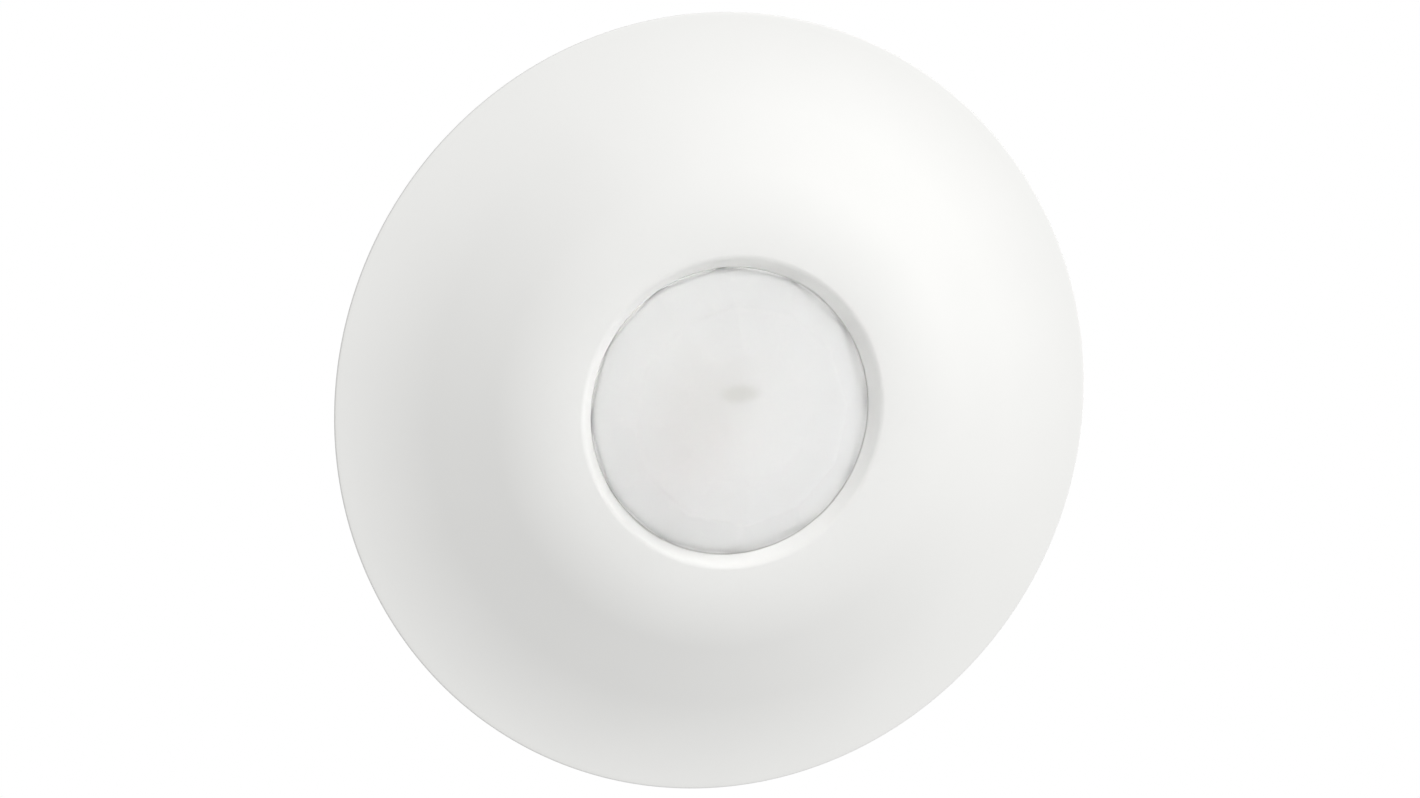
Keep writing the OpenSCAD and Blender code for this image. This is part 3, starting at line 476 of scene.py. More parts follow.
def soften(corners: np.ndarray, cut: np.ndarray | float, steps: int = 6, closed: bool = False) -> np.ndarray:
    """Rounds the corners of a line: a parabola runs from cut before each corner to cut after it.

    Args:
        corners: The line's corners, one per row.
        cut: How far from a corner its rounding starts, one for all or one for each.
        steps: Points on each rounding.
        closed: Whether the last corner joins the first; if not, the two ends stay as they are.

    Returns:
        The points of the rounded line.
    """
    cuts = np.broadcast_to(np.asarray(cut, float), len(corners))[:, None]
    back = np.roll(corners, 1, 0) - corners
    ahead = np.roll(corners, -1, 0) - corners
    before = corners + back * cuts / np.linalg.norm(back, axis=1, keepdims=True)
    after = corners + ahead * cuts / np.linalg.norm(ahead, axis=1, keepdims=True)
    t = np.linspace(0, 1, steps)[None, :, None]
    curves = ((1 - t) ** 2 * before[:, None] + 2 * t * (1 - t) * corners[:, None]
              + t ** 2 * after[:, None])
    if closed:
        return curves.reshape(-1, corners.shape[1])
    middle = curves[1:-1].reshape(-1, corners.shape[1])
    return np.vstack((corners[:1], middle, corners[-1:]))


def lathe(profile: np.ndarray, segments: int) -> Surface:
    """Turns a closed profile about the Z axis: x and y are the radius times cosine and sine, z stays.

    Args:
        profile: Radius and height of each point.
        segments: Steps round the axis.

    Returns:
        The closed surface.
    """
    a = np.linspace(0, FULL_TURN, segments, endpoint=False)
    radius, height = profile[:, :1], profile[:, 1:]
    points = np.stack((radius * np.cos(a), radius * np.sin(a), height + 0 * a), -1)
    return Surface.grid(points, True, True)


def tube(path: np.ndarray, radius: float, sides: int, reference: tuple[float, float, float]) -> Surface:
    """Carries a circle along a path, square to it, and closes both ends with half balls.

    Args:
        path: The points of the centre line.
        radius: Radius of the circle.
        sides: Points round the circle.
        reference: A direction that the path never runs along, which fixes the circle's turn.

    Returns:
        The closed tube.
    """
    way = np.gradient(path, axis=0)
    way /= np.linalg.norm(way, axis=1, keepdims=True)
    bulge = np.radians(np.linspace(90, 0, CAP_RINGS))[:, None]
    first = path[0] - way[0] * radius * np.sin(bulge)
    last = path[-1] + way[-1] * radius * np.sin(bulge[::-1])
    centre = np.vstack((first, path[1:-1], last))
    ways = np.vstack((np.repeat(way[:1], CAP_RINGS, 0), way[1:-1], np.repeat(way[-1:], CAP_RINGS, 0)))
    size = np.vstack((np.cos(bulge), np.ones((len(path) - 2, 1)), np.cos(bulge[::-1]))) * radius
    side = np.cross(ways, reference)
    side /= np.linalg.norm(side, axis=1, keepdims=True)
    lift = np.cross(side, ways)
    a = np.linspace(0, FULL_TURN, sides, endpoint=False)[None, :, None]
    points = centre[:, None] + size[:, None] * (np.cos(a) * side[:, None] + np.sin(a) * lift[:, None])
    return Surface.grid(points, False, True)


def show(piece: bpy.types.Object, finish: Finish, body: Body | None,
         stands_for: tuple[str, ...]) -> None:
    """Links a piece, gives it its finish, hangs it on its body and hides the nodes that it replaces.

    Args:
        piece: The new object.
        finish: Its surface finish.
        body: The body it rides on, or none where it bends between two.
        stands_for: The nodes that it replaces.
    """
    bpy.context.scene.collection.objects.link(piece)
    piece.data.materials.clear()
    piece.data.materials.append(finish.material())
    if body is not None:
        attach(piece, body.value)
    if stands_for:
        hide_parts(*stands_for)
    LOG.info("%s: %s, %d faces", piece.name, finish.name, len(piece.data.polygons))


def show_rounded(node: str, name: str, edge: float, finish: Finish, body: Body) -> None:
    """Shows a copy of a node's solid in its place, with its faces merged and its edges rounded.

    Args:
        node: The node to copy and replace.
        name: Name of the copy.
        edge: Width of the rounding.
        finish: Its surface finish.
        body: The body it rides on.
    """
    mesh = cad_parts[node].data.copy()
    mesh.name = name
    shell = bmesh.new()
    shell.from_mesh(mesh)
    bmesh.ops.remove_doubles(shell, verts=shell.verts, dist=MERGE)
    bmesh.ops.dissolve_limit(shell, angle_limit=math.radians(FLAT_DEG), verts=shell.verts, edges=shell.edges)
    shell.to_mesh(mesh)
    shell.free()
    mesh.shade_smooth()
    piece = bpy.data.objects.new(name, mesh)
    rounding = piece.modifiers.new("edge_rounding", "BEVEL")
    rounding.width = edge * MM
    rounding.segments = ROUNDING_STEPS
    rounding.limit_method = "ANGLE"
    rounding.angle_limit = math.radians(SHARP_DEG)
    piece.modifiers.new("even_shading", "WEIGHTED_NORMAL")
    show(piece, finish, body, (node,))


def dress(finish: Finish, *nodes: str) -> None:
    """Gives nodes whose own solids show their finish.

    Args:
        finish: The surface finish.
        nodes: The nodes that get it.
    """
    for name in nodes:
        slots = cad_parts[name].data.materials
        slots.clear()
        slots.append(finish.material())
        LOG.info("%s: %s", name, finish.name)


@dataclass
class BellCover:
    """The white cover: a bell of revolution with a rounded lip, a skirt with its clip groove, and ribs.

    Going outwards the slope rises from nothing on the crown, stays steep on the flank and eases
    again on the flare, so the bell is two arcs joined by a straight line.
    """

    radius: float = 55.0
    wall: float = 2.0
    rim_edge: float = 0.6
    bell_slope: float = 22.5
    rim_slope: float = 6.5
    crown_w: float = 11.7
    flank_w: float = 8.0
    lip_r: float = 1.2
    lip_turn: float = 45.0
    bevel_w: float = 1.1
    open_r: float = 20.3
    edge_round: float = 0.25
    skirt_r: float = 31.3
    skirt_wall: float = 1.8
    skirt_top: float = -2.3
    groove_depth: float = 0.75
    groove_low: float = -4.4075
    groove_high: float = -2.7075
    groove_round: float = 0.12
    groove_steps: int = 4
    join_steps: int = 4
    rim_round: float = 0.35
    rim_steps: int = 7
    rim_undercut: float = 0.3
    land_round: float = 0.15
    rib_count: int = 12
    rib_t: float = 1.2
    rib_gap: float = 0.3
    rib_end: float = 0.1
    rib_sink: float = 0.75
    rib_round: float = 0.2
    rib_round_steps: int = 5
    rib_points: int = 24
    rib_foot_points: int = 60
    steps: int = 26
    segments: int = 360

    def __post_init__(self) -> None:
        """Works out the arcs and heights that follow from the sizes."""
        steep, rim = math.radians(self.bell_slope), math.radians(self.rim_slope)
        self.lip_out_r = self.open_r + self.lip_r * math.sin(math.radians(self.lip_turn)) + self.bevel_w
        flare_w = self.radius - self.lip_out_r - self.crown_w - self.flank_w
        self.crown_arc = self.crown_w / math.sin(steep)
        self.flare_arc = flare_w / (math.sin(steep) - math.sin(rim))
        self.lip_z = -(self.rim_edge + self.crown_arc * (1 - math.cos(steep)) + self.flank_w * math.tan(steep)
                       + self.flare_arc * (math.cos(rim) - math.cos(steep)))

    def flare(self, slope: np.ndarray, inset: float) -> np.ndarray:
        """Points of the flare by slope: a circle's sine and cosine, set back square to it by inset."""
        a, rim = np.radians(slope), math.radians(self.rim_slope)
        return np.column_stack((
            self.radius - self.flare_arc * (np.sin(a) - math.sin(rim)) - inset * np.sin(a),
            -self.rim_edge - self.flare_arc * (math.cos(rim) - np.cos(a)) + inset * np.cos(a)))

    def crown(self, slope: np.ndarray, inset: float) -> np.ndarray:
        """Points of the crown by slope: a circle about a centre above the lip, set back by inset."""
        a = np.radians(slope)
        return np.column_stack((
            self.lip_out_r + (self.crown_arc - inset) * np.sin(a),
            self.lip_z + self.crown_arc - (self.crown_arc - inset) * np.cos(a)))

    def front(self) -> np.ndarray:
        """Gives the visible line: flare, crown, a lip that is an arc, and a straight bevel.

        Returns:
            Radius and height from the rim's rounding to the edge of the opening.
        """
        first = self.rim_slope + math.degrees(self.rim_round / self.flare_arc)
        flare = self.flare(np.linspace(first, self.bell_slope, self.steps), 0)
        crown = self.crown(np.linspace(self.bell_slope, 0, self.steps), 0)
        turn = np.radians(np.linspace(0, self.lip_turn, self.steps)[1:])
        lip = np.column_stack((self.lip_out_r - self.lip_r * np.sin(turn),
                               self.lip_z + self.lip_r * (1 - np.cos(turn))))
        bevel = lip[-1:] + self.bevel_w * np.array([[-1, math.tan(math.radians(self.lip_turn))]])
        return np.vstack((flare, crown, lip, bevel))

    def back_slope_at(self, radius: float) -> float:
        """Slope of the crown's back at a radius, in degrees."""
        return math.degrees(math.asin((radius - self.lip_out_r) / (self.crown_arc - self.wall)))

    def land_slope(self) -> float:
        """Slope at which the flare's back reaches the ceiling face, in degrees."""
        rim = math.radians(self.rim_slope)
        return math.degrees(math.acos(
            (self.flare_arc * math.cos(rim) + self.rim_edge) / (self.flare_arc + self.wall)))

    def profile(self) -> np.ndarray:
        """Gives the section: front, opening, back with the skirt, and the land on the ceiling.

        Returns:
            Radius and height along the closed line.
        """
        front = self.front()
        back_z = self.lip_z + self.wall
        skirt_out = self.skirt_r + self.skirt_wall
        groove_r = self.skirt_r + self.groove_depth
        out_slope = self.back_slope_at(skirt_out)
        inner = self.crown(np.linspace(0, self.back_slope_at(self.skirt_r), self.steps), self.wall)
        outer = self.crown(np.linspace(out_slope, self.bell_slope, self.join_steps), self.wall)
        skirt = soften(np.array([
            inner[-1], [self.skirt_r, self.groove_low], [groove_r, self.groove_low],
            [groove_r, self.groove_high], [self.skirt_r, self.groove_high],
            [self.skirt_r, self.skirt_top], [skirt_out, self.skirt_top], outer[0]]),
            self.groove_round, self.groove_steps)
        flare = self.flare(np.linspace(self.bell_slope, self.land_slope(), self.steps), self.wall)
        rim = soften(np.array([
            flare[-1], [self.radius - self.rim_undercut, 0], [self.radius, -self.rim_edge], front[0]]),
            np.array([0, self.land_round, self.rim_round, 0]), self.rim_steps)
        opening = np.array([[self.open_r, back_z - self.edge_round], [self.open_r + self.edge_round, back_z]])
        return np.vstack((front, opening, inner, skirt[1:], outer[1:], flare, rim[1:-1]))

    def ribs(self) -> Surface:
        """Carries a rounded section outwards behind the flare, from a line sunk in its wall to one height.

        Returns:
            All the ribs.
        """
        sink = self.wall * self.rib_sink
        foot = np.vstack((
            self.crown(np.array([self.bell_slope]), sink),
            self.flare(np.linspace(self.bell_slope, self.land_slope(), self.rib_foot_points), sink)))
        half, top = self.rib_t / 2, -self.rim_edge / 2
        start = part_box("housing_shell")[1][0] / MM + self.rib_gap
        end = np.interp(top, foot[:, 1], foot[:, 0]) - self.rib_end
        out = np.linspace(start, end, self.rib_points)
        low = np.interp(out, foot[:, 0], foot[:, 1])
        section = soften(np.array([[-half, 0], [-half, 1], [half, 1], [half, 0]], float),
                         self.rib_round, self.rib_round_steps)
        height = low[:, None] + (top - low)[:, None] * section[None, :, 1]
        points = np.stack((np.broadcast_to(out[:, None], height.shape),
                           np.broadcast_to(section[None, :, 0], height.shape), height), -1)
        ends = points[[0, -1]].mean(1, keepdims=True) + 0 * points[[0, -1]]
        one = Surface.grid(np.concatenate((ends[:1], points, ends[1:])), False, True)
        pitch = TURN_DEG / self.rib_count
        return Surface.joined([one.turned((index + 0.5) * pitch) for index in range(self.rib_count)])

    def build(self) -> None:
        """Makes the cover and its ribs."""
        bell = lathe(self.profile(), self.segments).piece("bell_cover")
        show(bell, COVER_ABS, Body.COVER, ("front_cover",))
        show(self.ribs().piece("cover_ribs"), COVER_ABS, Body.COVER, ())


@dataclass
class FacetLens:
    """The milky lens: rows of flat facets, equal in number, round a small flat middle.

    A ring's radius is multiplied by a polygon with soft corners: the inverse of a high power mean
    of the distances to its sides.
    """

    radius: float = 20.0
    facets: int = 12
    wall: float = 0.8
    shoulder_r: float = 15.5
    shoulder_thinning: float = 0.5
    shelf_r: float = 9.2
    shelf_thinning: float = 0.25
    tip_r: float = 3.2
    steep_h: float = 4.9
    middle_h: float = 2.6
    flat_h: float = 0.8
    flange_r: float = 21.6
    flange_t: float = 1.0
    flange_round: float = 0.15
    seat_gap: float = 0.02
    collar_wall: float = 0.25
    brim_swell: float = 0.08
    brim_drop: float = 0.1
    brim_round: float = 0.05
    base_roundness: float = 0.65
    crease: float = 0.45
    crease_deg: float = 60.0
    sharpness: float = 150.0
    columns: int = 20
    crowding: float = 1.7

    def polygon(self) -> tuple[np.ndarray, np.ndarray]:
        """Works out the polygon with soft corners.

        Returns:
            Angles, closer together near the corners, and the polygon's radius at each.
        """
        side = FULL_TURN / self.facets
        even = np.linspace(-1, 1, self.columns, endpoint=False)
        within = np.sign(even) * (1 - (1 - np.abs(even)) ** self.crowding) * side / 2
        middle = side * (np.arange(self.facets) + 0.5)
        a = (middle[:, None] + within[None, :]).ravel()
        reach = np.cos(a[:, None] - middle[None, :]) / math.cos(side / 2)
        return a, (np.clip(reach, 0, None) ** self.sharpness).sum(1) ** (-1 / self.sharpness)

    def build(self) -> None:
        """Makes the lens as rings from the middle of its inside, round its flange, to its tip.

        A ring's third value blends the polygon, at 0, into a circle, at 1.
        """
        wall = self.wall
        low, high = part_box("lens")
        tip_z, plate_z = low[2] / MM, high[2] / MM - self.seat_gap
        flange_z = plate_z - self.flange_t
        ring_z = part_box("lens_retainer")[0][2] / MM - self.seat_gap
        bore_r, brim_r = self.radius - self.collar_wall, self.radius + self.brim_swell
        shelf_z = tip_z + self.flat_h
        shoulder_z = shelf_z + self.middle_h
        base_z = shoulder_z + self.steep_h
        inside = soften(np.array([
            [0, tip_z + wall, 0], [self.tip_r, tip_z + wall, 0],
            [self.shelf_r - wall * self.shelf_thinning, shelf_z + wall, 0],
            [self.shoulder_r - wall * self.shoulder_thinning, shoulder_z + wall, 0],
            [bore_r, base_z + wall - self.collar_wall, self.base_roundness], [bore_r, plate_z, 0]]),
            self.crease)
        flange = soften(np.array([
            [bore_r, plate_z, 1], [self.flange_r, plate_z, 1], [self.flange_r, flange_z, 1],
            [brim_r, flange_z, 1]]), self.flange_round)
        outside = soften(np.array([
            [self.radius, flange_z, 0], [self.radius, ring_z, 0], [brim_r, ring_z, 1],
            [brim_r, base_z + self.brim_drop, 1], [self.radius, base_z, self.base_roundness],
            [self.shoulder_r, shoulder_z, 0], [self.shelf_r, shelf_z, 0], [self.tip_r, tip_z, 0],
            [0, tip_z, 0]]),
            np.array([0, *[self.brim_round] * 4, *[self.crease] * 3, 0]))
        line = np.vstack((inside, flange[1:], outside))
        a, reach = self.polygon()
        radius = line[:, :1] * (line[:, 2:] + (1 - line[:, 2:]) * reach)
        points = np.stack((radius * np.cos(a), radius * np.sin(a), line[:, 1:2] + 0 * a), -1)
        lens = Surface.grid(points, False, True).piece("facet_lens", self.crease_deg)
        show(lens, LENS_HDPE, Body.HOUSING, ("lens",))
        # The faces within and behind the ring belong to the deep collar and flange
        lens.data.materials.append(COLLAR_HDPE.material())
        centres = np.empty(3 * len(lens.data.polygons), np.float32)
        lens.data.polygons.foreach_get("center", centres)
        within_ring = centres[2::3] > ring_z * MM
        lens.data.polygons.foreach_set("material_index", within_ring.astype(np.int32))


@dataclass
class SprungClaws:
    """The two claws with their pads, pins and torsion springs."""

    pin_x: float = 27.4
    pin_z: float = 18.0
    droop: float = 15.0
    wire: float = 0.7
    coil_r: float = 1.65
    pitch: float = 1.25
    start: float = 165.0
    slant: float = 75.0
    turns: int = 4
    foot: float = 3.6
    foot_gap: float = 0.3
    arm: float = 6.5
    arm_z: float = 1.0
    bend: float = 0.6
    edge: float = 0.2
    pad_edge: float = 0.4
    sides: int = 14
    leg_points: int = 8
    points_per_turn: int = 40

    def __post_init__(self) -> None:
        """Works out how far the helix turns and how long it is."""
        self.sweep = self.start - self.slant + self.droop + TURN_DEG * self.turns
        self.length = self.pitch * self.sweep / TURN_DEG

    def spring(self) -> Surface:
        """Makes the right spring: a straight foot, a helix about the pin, then an arm along the strap.

        The helix turns clockwise by the sweep while it advances one pitch per turn along the pin.

        Returns:
            The spring, with its coil's middle at the origin.
        """
        share = np.linspace(0, 1, round(self.points_per_turn * self.sweep / TURN_DEG))[:, None]
        a = np.radians(self.start - self.sweep * share)
        coil = np.hstack((self.coil_r * np.cos(a), self.length * (share - 0.5), self.coil_r * np.sin(a)))
        back = math.radians(self.start - 90)
        foot_way = np.array([math.cos(back), 0, math.sin(back)])
        foot = coil[0] - foot_way * np.linspace(self.foot, self.foot_gap, self.leg_points)[:, None]
        slant, droop = math.radians(self.slant), math.radians(self.droop)
        drop = self.coil_r * math.sin(slant) - self.arm_z
        bend_x = self.coil_r * math.cos(slant) + drop * math.tan(slant)
        side = self.length / 2
        arm = np.array([[bend_x, side, self.arm_z], [bend_x + self.arm, side, self.arm_z]])
        turn = np.array([[math.cos(droop), 0, math.sin(droop)], [0, 1, 0],
                         [-math.sin(droop), 0, math.cos(droop)]])
        leg = soften(np.vstack((coil[-1:], arm @ turn.T)), self.bend, self.leg_points)[1:]
        return tube(np.vstack((foot, coil, leg)), self.wire / 2, self.sides, (0, 1, 0))

    def build_spring(self, name: str, node: str, side: int) -> None:
        """Makes one spring, which winds up between the housing and its claw.

        Args:
            name: Name of the piece.
            node: The node that it replaces.
            side: 1 for the right claw, -1 for the left one.
        """
        form = self.spring().moved(self.pin_x, 0, self.pin_z).turned(0 if side > 0 else 180)
        piece = form.piece(name)
        show(piece, SPRING_WIRE, None, (node,))
        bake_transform(piece)

    def build(self) -> None:
        """Makes both claws."""
        for side, word, body in ((1, "right", Body.RIGHT_CLAW), (-1, "left", Body.LEFT_CLAW)):
            show_rounded(f"claw_{word}", f"strap_{word}", self.edge, CLAW_ACETAL, body)
            show_rounded(f"claw_pad_{word}", f"grip_pad_{word}", self.pad_edge, PAD_ELASTOMER,
                         body)
            self.build_spring(f"torsion_spring_{word}", f"claw_spring_{word}", side)
        show_rounded("claw_pins", "hinge_pins", self.edge, PIN_STEEL, Body.HOUSING)


@dataclass
class Housing:
    """The housing, its rear cap with screws, and the cable grommet."""

    edge: float = 0.25
    screw_edge: float = 0.15
    grommet_y: float = -10.55
    bore_r: float = 4.0
    neck_r: float = 5.5
    lip_r: float = 6.9
    lip_t: float = 1.5
    lip_taper: float = 0.5
    lip_round: float = 0.3
    waist_round: float = 0.1
    mouth_round: float = 0.6
    cap_low: float = 32.0
    cap_high: float = 34.0
    round_steps: int = 8
    segments: int = 96

    def grommet(self) -> Surface:
        """Turns a closed section with round lips and a waist in the cap about the bore.

        Returns:
            The grommet.
        """
        low, high = self.cap_low - self.lip_t, self.cap_high + self.lip_t
        corners = np.array([
            [self.bore_r, low], [self.lip_r, low], [self.lip_r, self.cap_low], [self.neck_r, self.cap_low],
            [self.neck_r, self.cap_high], [self.lip_r, self.cap_high], [self.lip_r - self.lip_taper, high],
            [self.bore_r, high]])
        lip, waist, mouth = self.lip_round, self.waist_round, self.mouth_round
        cuts = np.array([lip, lip, lip, waist, waist, lip, mouth, mouth])
        section = soften(corners, cuts, self.round_steps, True)
        return lathe(section, self.segments).moved(0, self.grommet_y, 0)

    def build(self) -> None:
        """Makes the mouldings, screws and grommet."""
        body = Body.HOUSING
        show_rounded("housing_shell", "housing_moulding", self.edge, HOUSING_PC, body)
        show_rounded("rear_cap", "rear_cap_moulding", self.edge, CAP_PC, body)
        show_rounded("cap_screws", "cap_screw_heads", self.screw_edge, ZINC_STEEL, body)
        grommet = self.grommet().piece("grommet_ring")
        show(grommet, GROMMET_RUBBER, body, ("cable_grommet",))


@dataclass
class FrontSettings:
    """What the pulled cover bares: lens ring, cover clips, three dials with marks, and test button."""

    ring_edge: float = 0.15
    screw_edge: float = 0.1
    clip_edge: float = 0.06
    dial_edge: float = 0.12
    button_edge: float = 0.25
    sweep: float = 135.0
    mark_count: int = 7
    mark_gap: float = 0.55
    mark_l: float = 0.8
    mark_w: float = 0.28
    mark_h: float = 0.05
    mark_points: int = 24

    def marks(self, dials: tuple[str, ...]) -> Surface:
        """Makes the marks round each dial: bars with round ends, spread evenly over the dial's turn.

        A bar's outline is a circle whose halves are pulled apart along the bar, carried from the
        plate down to its face and drawn in to a line there and on the plate, which closes it.

        Args:
            dials: The nodes of the dials.

        Returns:
            All the marks.
        """
        plate_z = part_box("housing_shell")[0][2] / MM
        a = np.linspace(0, FULL_TURN, self.mark_points, endpoint=False)
        size = np.array([0, 1, 1, 0])[:, None] * self.mark_w / 2
        depth = np.array([0, 0, 1, 1])[:, None] * self.mark_h
        along = np.sign(np.cos(a)) * (self.mark_l - self.mark_w) / 2 + size * np.cos(a)
        bar = Surface.grid(np.stack((along, size * np.sin(a), plate_z - depth + 0 * a), -1), False, True)
        every = []
        for node in dials:
            low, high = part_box(node)
            middle = (np.array(low) + np.array(high)) / 2 / MM
            reach = (high[0] - low[0]) / 2 / MM + self.mark_gap + self.mark_l / 2
            outward = math.degrees(math.atan2(middle[1], middle[0]))
            for turn in np.linspace(-self.sweep, self.sweep, self.mark_count):
                mark = bar.moved(reach, 0, 0).turned(outward + turn)
                every.append(mark.moved(middle[0], middle[1], 0))
        return Surface.joined(every)

    def build(self) -> None:
        """Makes the ring, clips, dials, marks and button."""
        body = Body.HOUSING
        show_rounded("lens_retainer", "lens_ring", self.ring_edge, RING_PC, body)
        show_rounded("retainer_screws", "ring_screws", self.screw_edge, ZINC_STEEL, body)
        show_rounded("cover_clips", "clip_springs", self.clip_edge, CLIP_STRIP, body)
        dials = {"time_dial": Body.TIME_KNOB, "lux_dial": Body.LUX_KNOB, "reach_dial": Body.REACH_KNOB}
        for node, knob in dials.items():
            show_rounded(node, f"{node}_knob", self.dial_edge, GREY_ACETAL, knob)
        show(self.marks(tuple(dials)).piece("dial_marks"), PAD_INK, body, ())
        show_rounded("test_button", "test_button_cap", self.button_edge, ORANGE_ABS,
                     Body.TEST_KEY)


@dataclass
class InnerParts:
    """The boards and the parts on them, which keep their own solids."""

    finishes: dict[Finish, tuple[str, ...]] = field(default_factory=lambda: {
        ZINC_STEEL: ("board_screws", "terminal_screws"),
        DARK_NYLON: ("dial_bases", "switch_plunger", "switch_body", "light_sensor", "control_chips",
                     "link_strips"),
        BOARD_EPOXY: ("power_board",),
        BOARD_WHITE: ("sensor_board",),
        IVORY_NYLON: ("board_spacers", "sensor_spacer"),
        CAN_NICKEL: ("sensor_can",),
        FILTER_SILICON: ("sensor_window",),
        LAMP_EPOXY: ("status_lamp",),
        BRASS: ("link_pins", "terminal_cages"),
        TERMINAL_NYLON: ("terminal_block",),
        RELAY_CASE: ("relay",),
        FERRITE: ("supply_core",),
        WINDING_ENAMEL: ("supply_winding",),
        SLEEVE_PVC: ("smoothing_capacitor",),
        FILM_EPOXY: ("film_capacitor",),
        SURGE_EPOXY: ("surge_disc",),
        FUSE_CASE: ("fuse_box",),
    })

    def build(self) -> None:
        """Dresses each part in its finish."""
        for finish, nodes in self.finishes.items():
            dress(finish, *nodes)


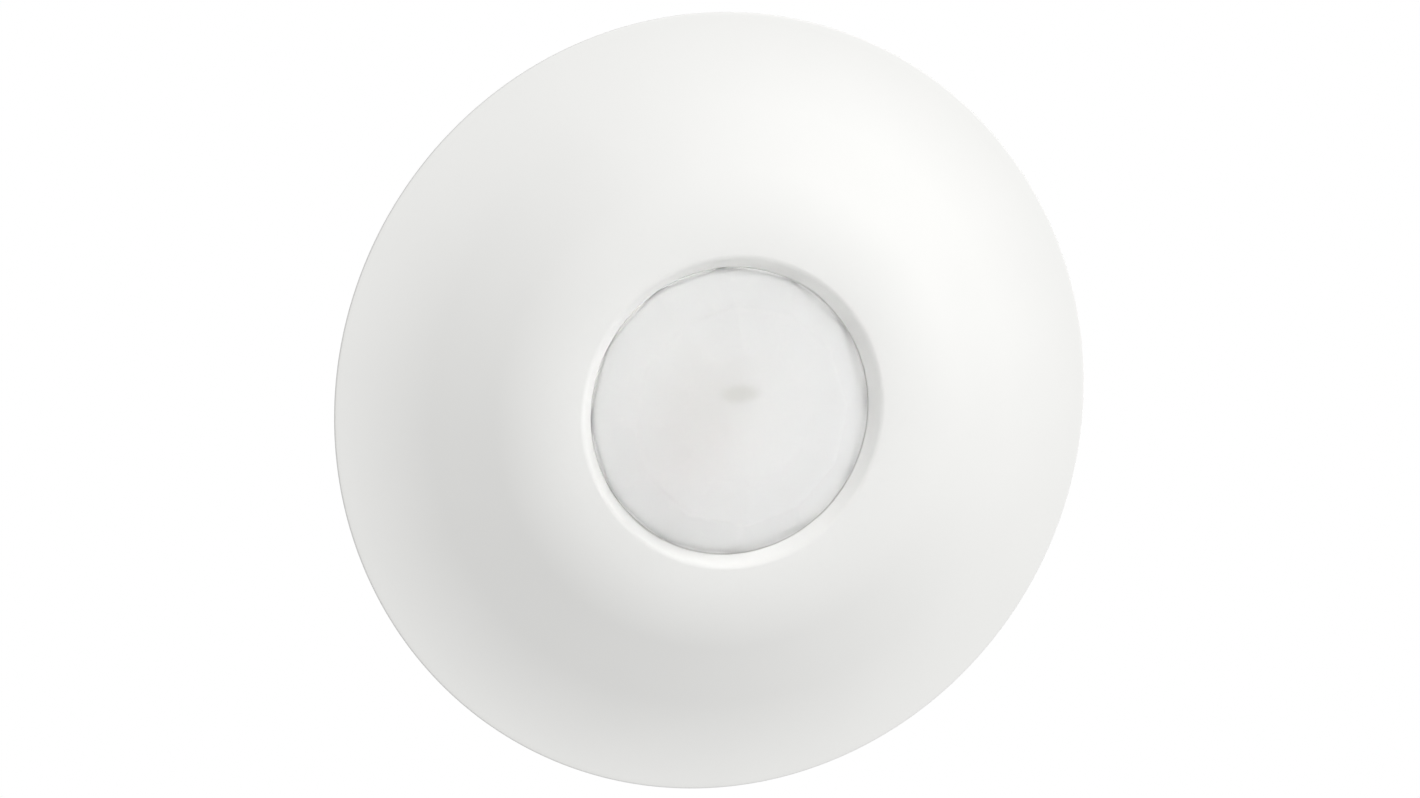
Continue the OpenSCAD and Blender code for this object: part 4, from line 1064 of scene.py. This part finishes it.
@dataclass
class Studio:
    """The camera below the ceiling, the soft lamps, the white surroundings and the pale floor."""

    image_w: float = 1420.0
    image_h: float = 798.0
    centre_at: tuple[float, float] = (713.0, 402.2)
    tilt: float = 19.5
    tilt_way: tuple[float, float] = (0.0, 1.0)
    up_way: tuple[float, float] = (-0.883, 0.469)
    distance: float = 1.2
    far: float = 200.0
    px_per_mm: float = 7.15
    sensor_mm: float = 36.0
    ambient: float = 0.658
    overhead: float = 0.42
    backdrop: float = 0.74
    sweep_low: float = 0.25
    sweep_high: float = 0.65
    key_way: tuple[float, float] = (-0.941, -0.339)
    key_tilt: float = 55.0
    key_power: float = 14.2
    key_distance: float = 1.5
    key_size: float = 0.9
    top_at: tuple[float, float, float] = (-0.5, -0.7, 1.3)
    top_power: float = 9.0
    top_size: float = 1.0
    floor_z: float = -1.9
    floor_size: float = 80.0

    @staticmethod
    def from_below(tilt: float, way: tuple[float, float]) -> Vector:
        """Gives the direction that leans by an angle from straight down towards a way."""
        a = math.radians(tilt)
        return Vector((math.sin(a) * way[0], math.sin(a) * way[1], -math.cos(a)))

    def camera(self) -> None:
        """Points the camera along the photograph's view, with the rim's centre where it is there."""
        back = self.from_below(self.tilt, self.tilt_way)
        back.normalize()
        up = Vector((*self.up_way, 0))
        up = (up - back * up.dot(back)).normalized()
        right = up.cross(back)
        per_px = MM / self.px_per_mm
        across, down = self.image_w / 2 - self.centre_at[0], self.image_h / 2 - self.centre_at[1]
        aim = (right * across - up * down) * per_px
        data = bpy.data.cameras.new("camera")
        data.sensor_width = self.sensor_mm
        data.lens = self.px_per_mm * self.distance / MM / self.image_w * self.sensor_mm
        data.clip_end = self.far
        camera = bpy.data.objects.new("camera", data)
        turn = Matrix((right, up, back)).transposed().to_4x4()
        camera.matrix_world = Matrix.Translation(aim + back * self.distance) @ turn
        bpy.context.scene.collection.objects.link(camera)
        bpy.context.scene.camera = camera

    def lamp(self, name: str, place: Vector, size: float, power: float) -> None:
        """Adds a square soft lamp that faces the object.

        Args:
            name: The lamp's name.
            place: Where it stands.
            size: Its side.
            power: Its power in watts.
        """
        data = bpy.data.lights.new(name, "AREA")
        data.size = size
        data.energy = power
        lamp = bpy.data.objects.new(name, data)
        lamp.location = place
        lamp.rotation_euler = place.to_track_quat("Z", "Y").to_euler()
        bpy.context.scene.collection.objects.link(lamp)

    def glow(self, tree: Tree, kind: str, level: float, sweep: dict) -> bpy.types.Node:
        """Adds a pale light that is bright to the eye and in reflections, and dimmer on the object.

        Args:
            tree: The node tree of the world or the floor.
            kind: The shader's node type.
            level: Its strength as light on the object.
            sweep: The socket that raises its strength to the eye from the backdrop to white, if any.

        Returns:
            The shader node.
        """
        path = add_node(tree, "ShaderNodeLightPath", {}, {}).outputs
        to_eye = add_node(tree, "ShaderNodeMapRange", {
            "interpolation_type": "SMOOTHSTEP", "Value": 0.0, "From Min": self.sweep_low,
            "From Max": self.sweep_high, "To Min": self.backdrop, "To Max": 1.0}, sweep)
        seen = add_node(tree, "ShaderNodeMath", {"operation": "MAXIMUM"},
                        {0: path["Is Camera Ray"], 1: path["Is Glossy Ray"]})
        strength = add_node(tree, "ShaderNodeMapRange", {"To Min": level},
                            {"Value": seen.outputs[0], "To Max": to_eye.outputs[0]})
        strength = add_node(tree, "ShaderNodeMapRange", {"To Max": 1.0},
                            {"Value": path["Is Transmission Ray"], "To Min": strength.outputs[0]})
        return add_node(tree, kind, {"Color": linear("#FFFFFF")}, {"Strength": strength.outputs[0]})

    def surroundings(self) -> None:
        """Makes the white world and the pale floor."""
        world = bpy.data.worlds.new("surroundings")
        world.use_nodes = True
        world.node_tree.nodes.clear()
        way = add_node(world.node_tree, "ShaderNodeTexCoord", {}, {}).outputs["Generated"]
        height = add_node(world.node_tree, "ShaderNodeSeparateXYZ", {}, {0: way}).outputs["Z"]
        light = self.glow(world.node_tree, "ShaderNodeBackground", self.overhead, {"Value": height})
        add_node(world.node_tree, "ShaderNodeOutputWorld", {}, {"Surface": light.outputs[0]})
        bpy.context.scene.world = world
        half = self.floor_size / 2
        corners = [(-half, -half, self.floor_z), (half, -half, self.floor_z),
                   (half, half, self.floor_z), (-half, half, self.floor_z)]
        mesh = bpy.data.meshes.new("floor")
        mesh.from_pydata(corners, [], [(0, 1, 2, 3)])
        floor = bpy.data.objects.new("floor", mesh)
        paint = bpy.data.materials.new("floor_paint")
        paint.use_nodes = True
        paint.node_tree.nodes.clear()
        light = self.glow(paint.node_tree, "ShaderNodeEmission", self.ambient, {})
        add_node(paint.node_tree, "ShaderNodeOutputMaterial", {}, {"Surface": light.outputs[0]})
        mesh.materials.append(paint)
        bpy.context.scene.collection.objects.link(floor)

    def build(self) -> None:
        """Sets the view transform and makes camera, lamps and surroundings."""
        bpy.context.scene.view_settings.view_transform = "Standard"
        self.camera()
        key = self.from_below(self.key_tilt, self.key_way)
        self.lamp("key_lamp", key * self.key_distance, self.key_size, self.key_power)
        self.lamp("top_lamp", Vector(self.top_at), self.top_size, self.top_power)
        self.surroundings()


def main() -> None:
    """Builds the studio and every sub-assembly."""
    logging.basicConfig(level=logging.INFO, format="%(message)s")
    assemblies = (Studio(), BellCover(), FacetLens(), FrontSettings(), Housing(), SprungClaws(), InnerParts())
    for assembly in assemblies:
        LOG.info("building %s", type(assembly).__name__)
        assembly.build()


if __name__ == "__main__":
    main()
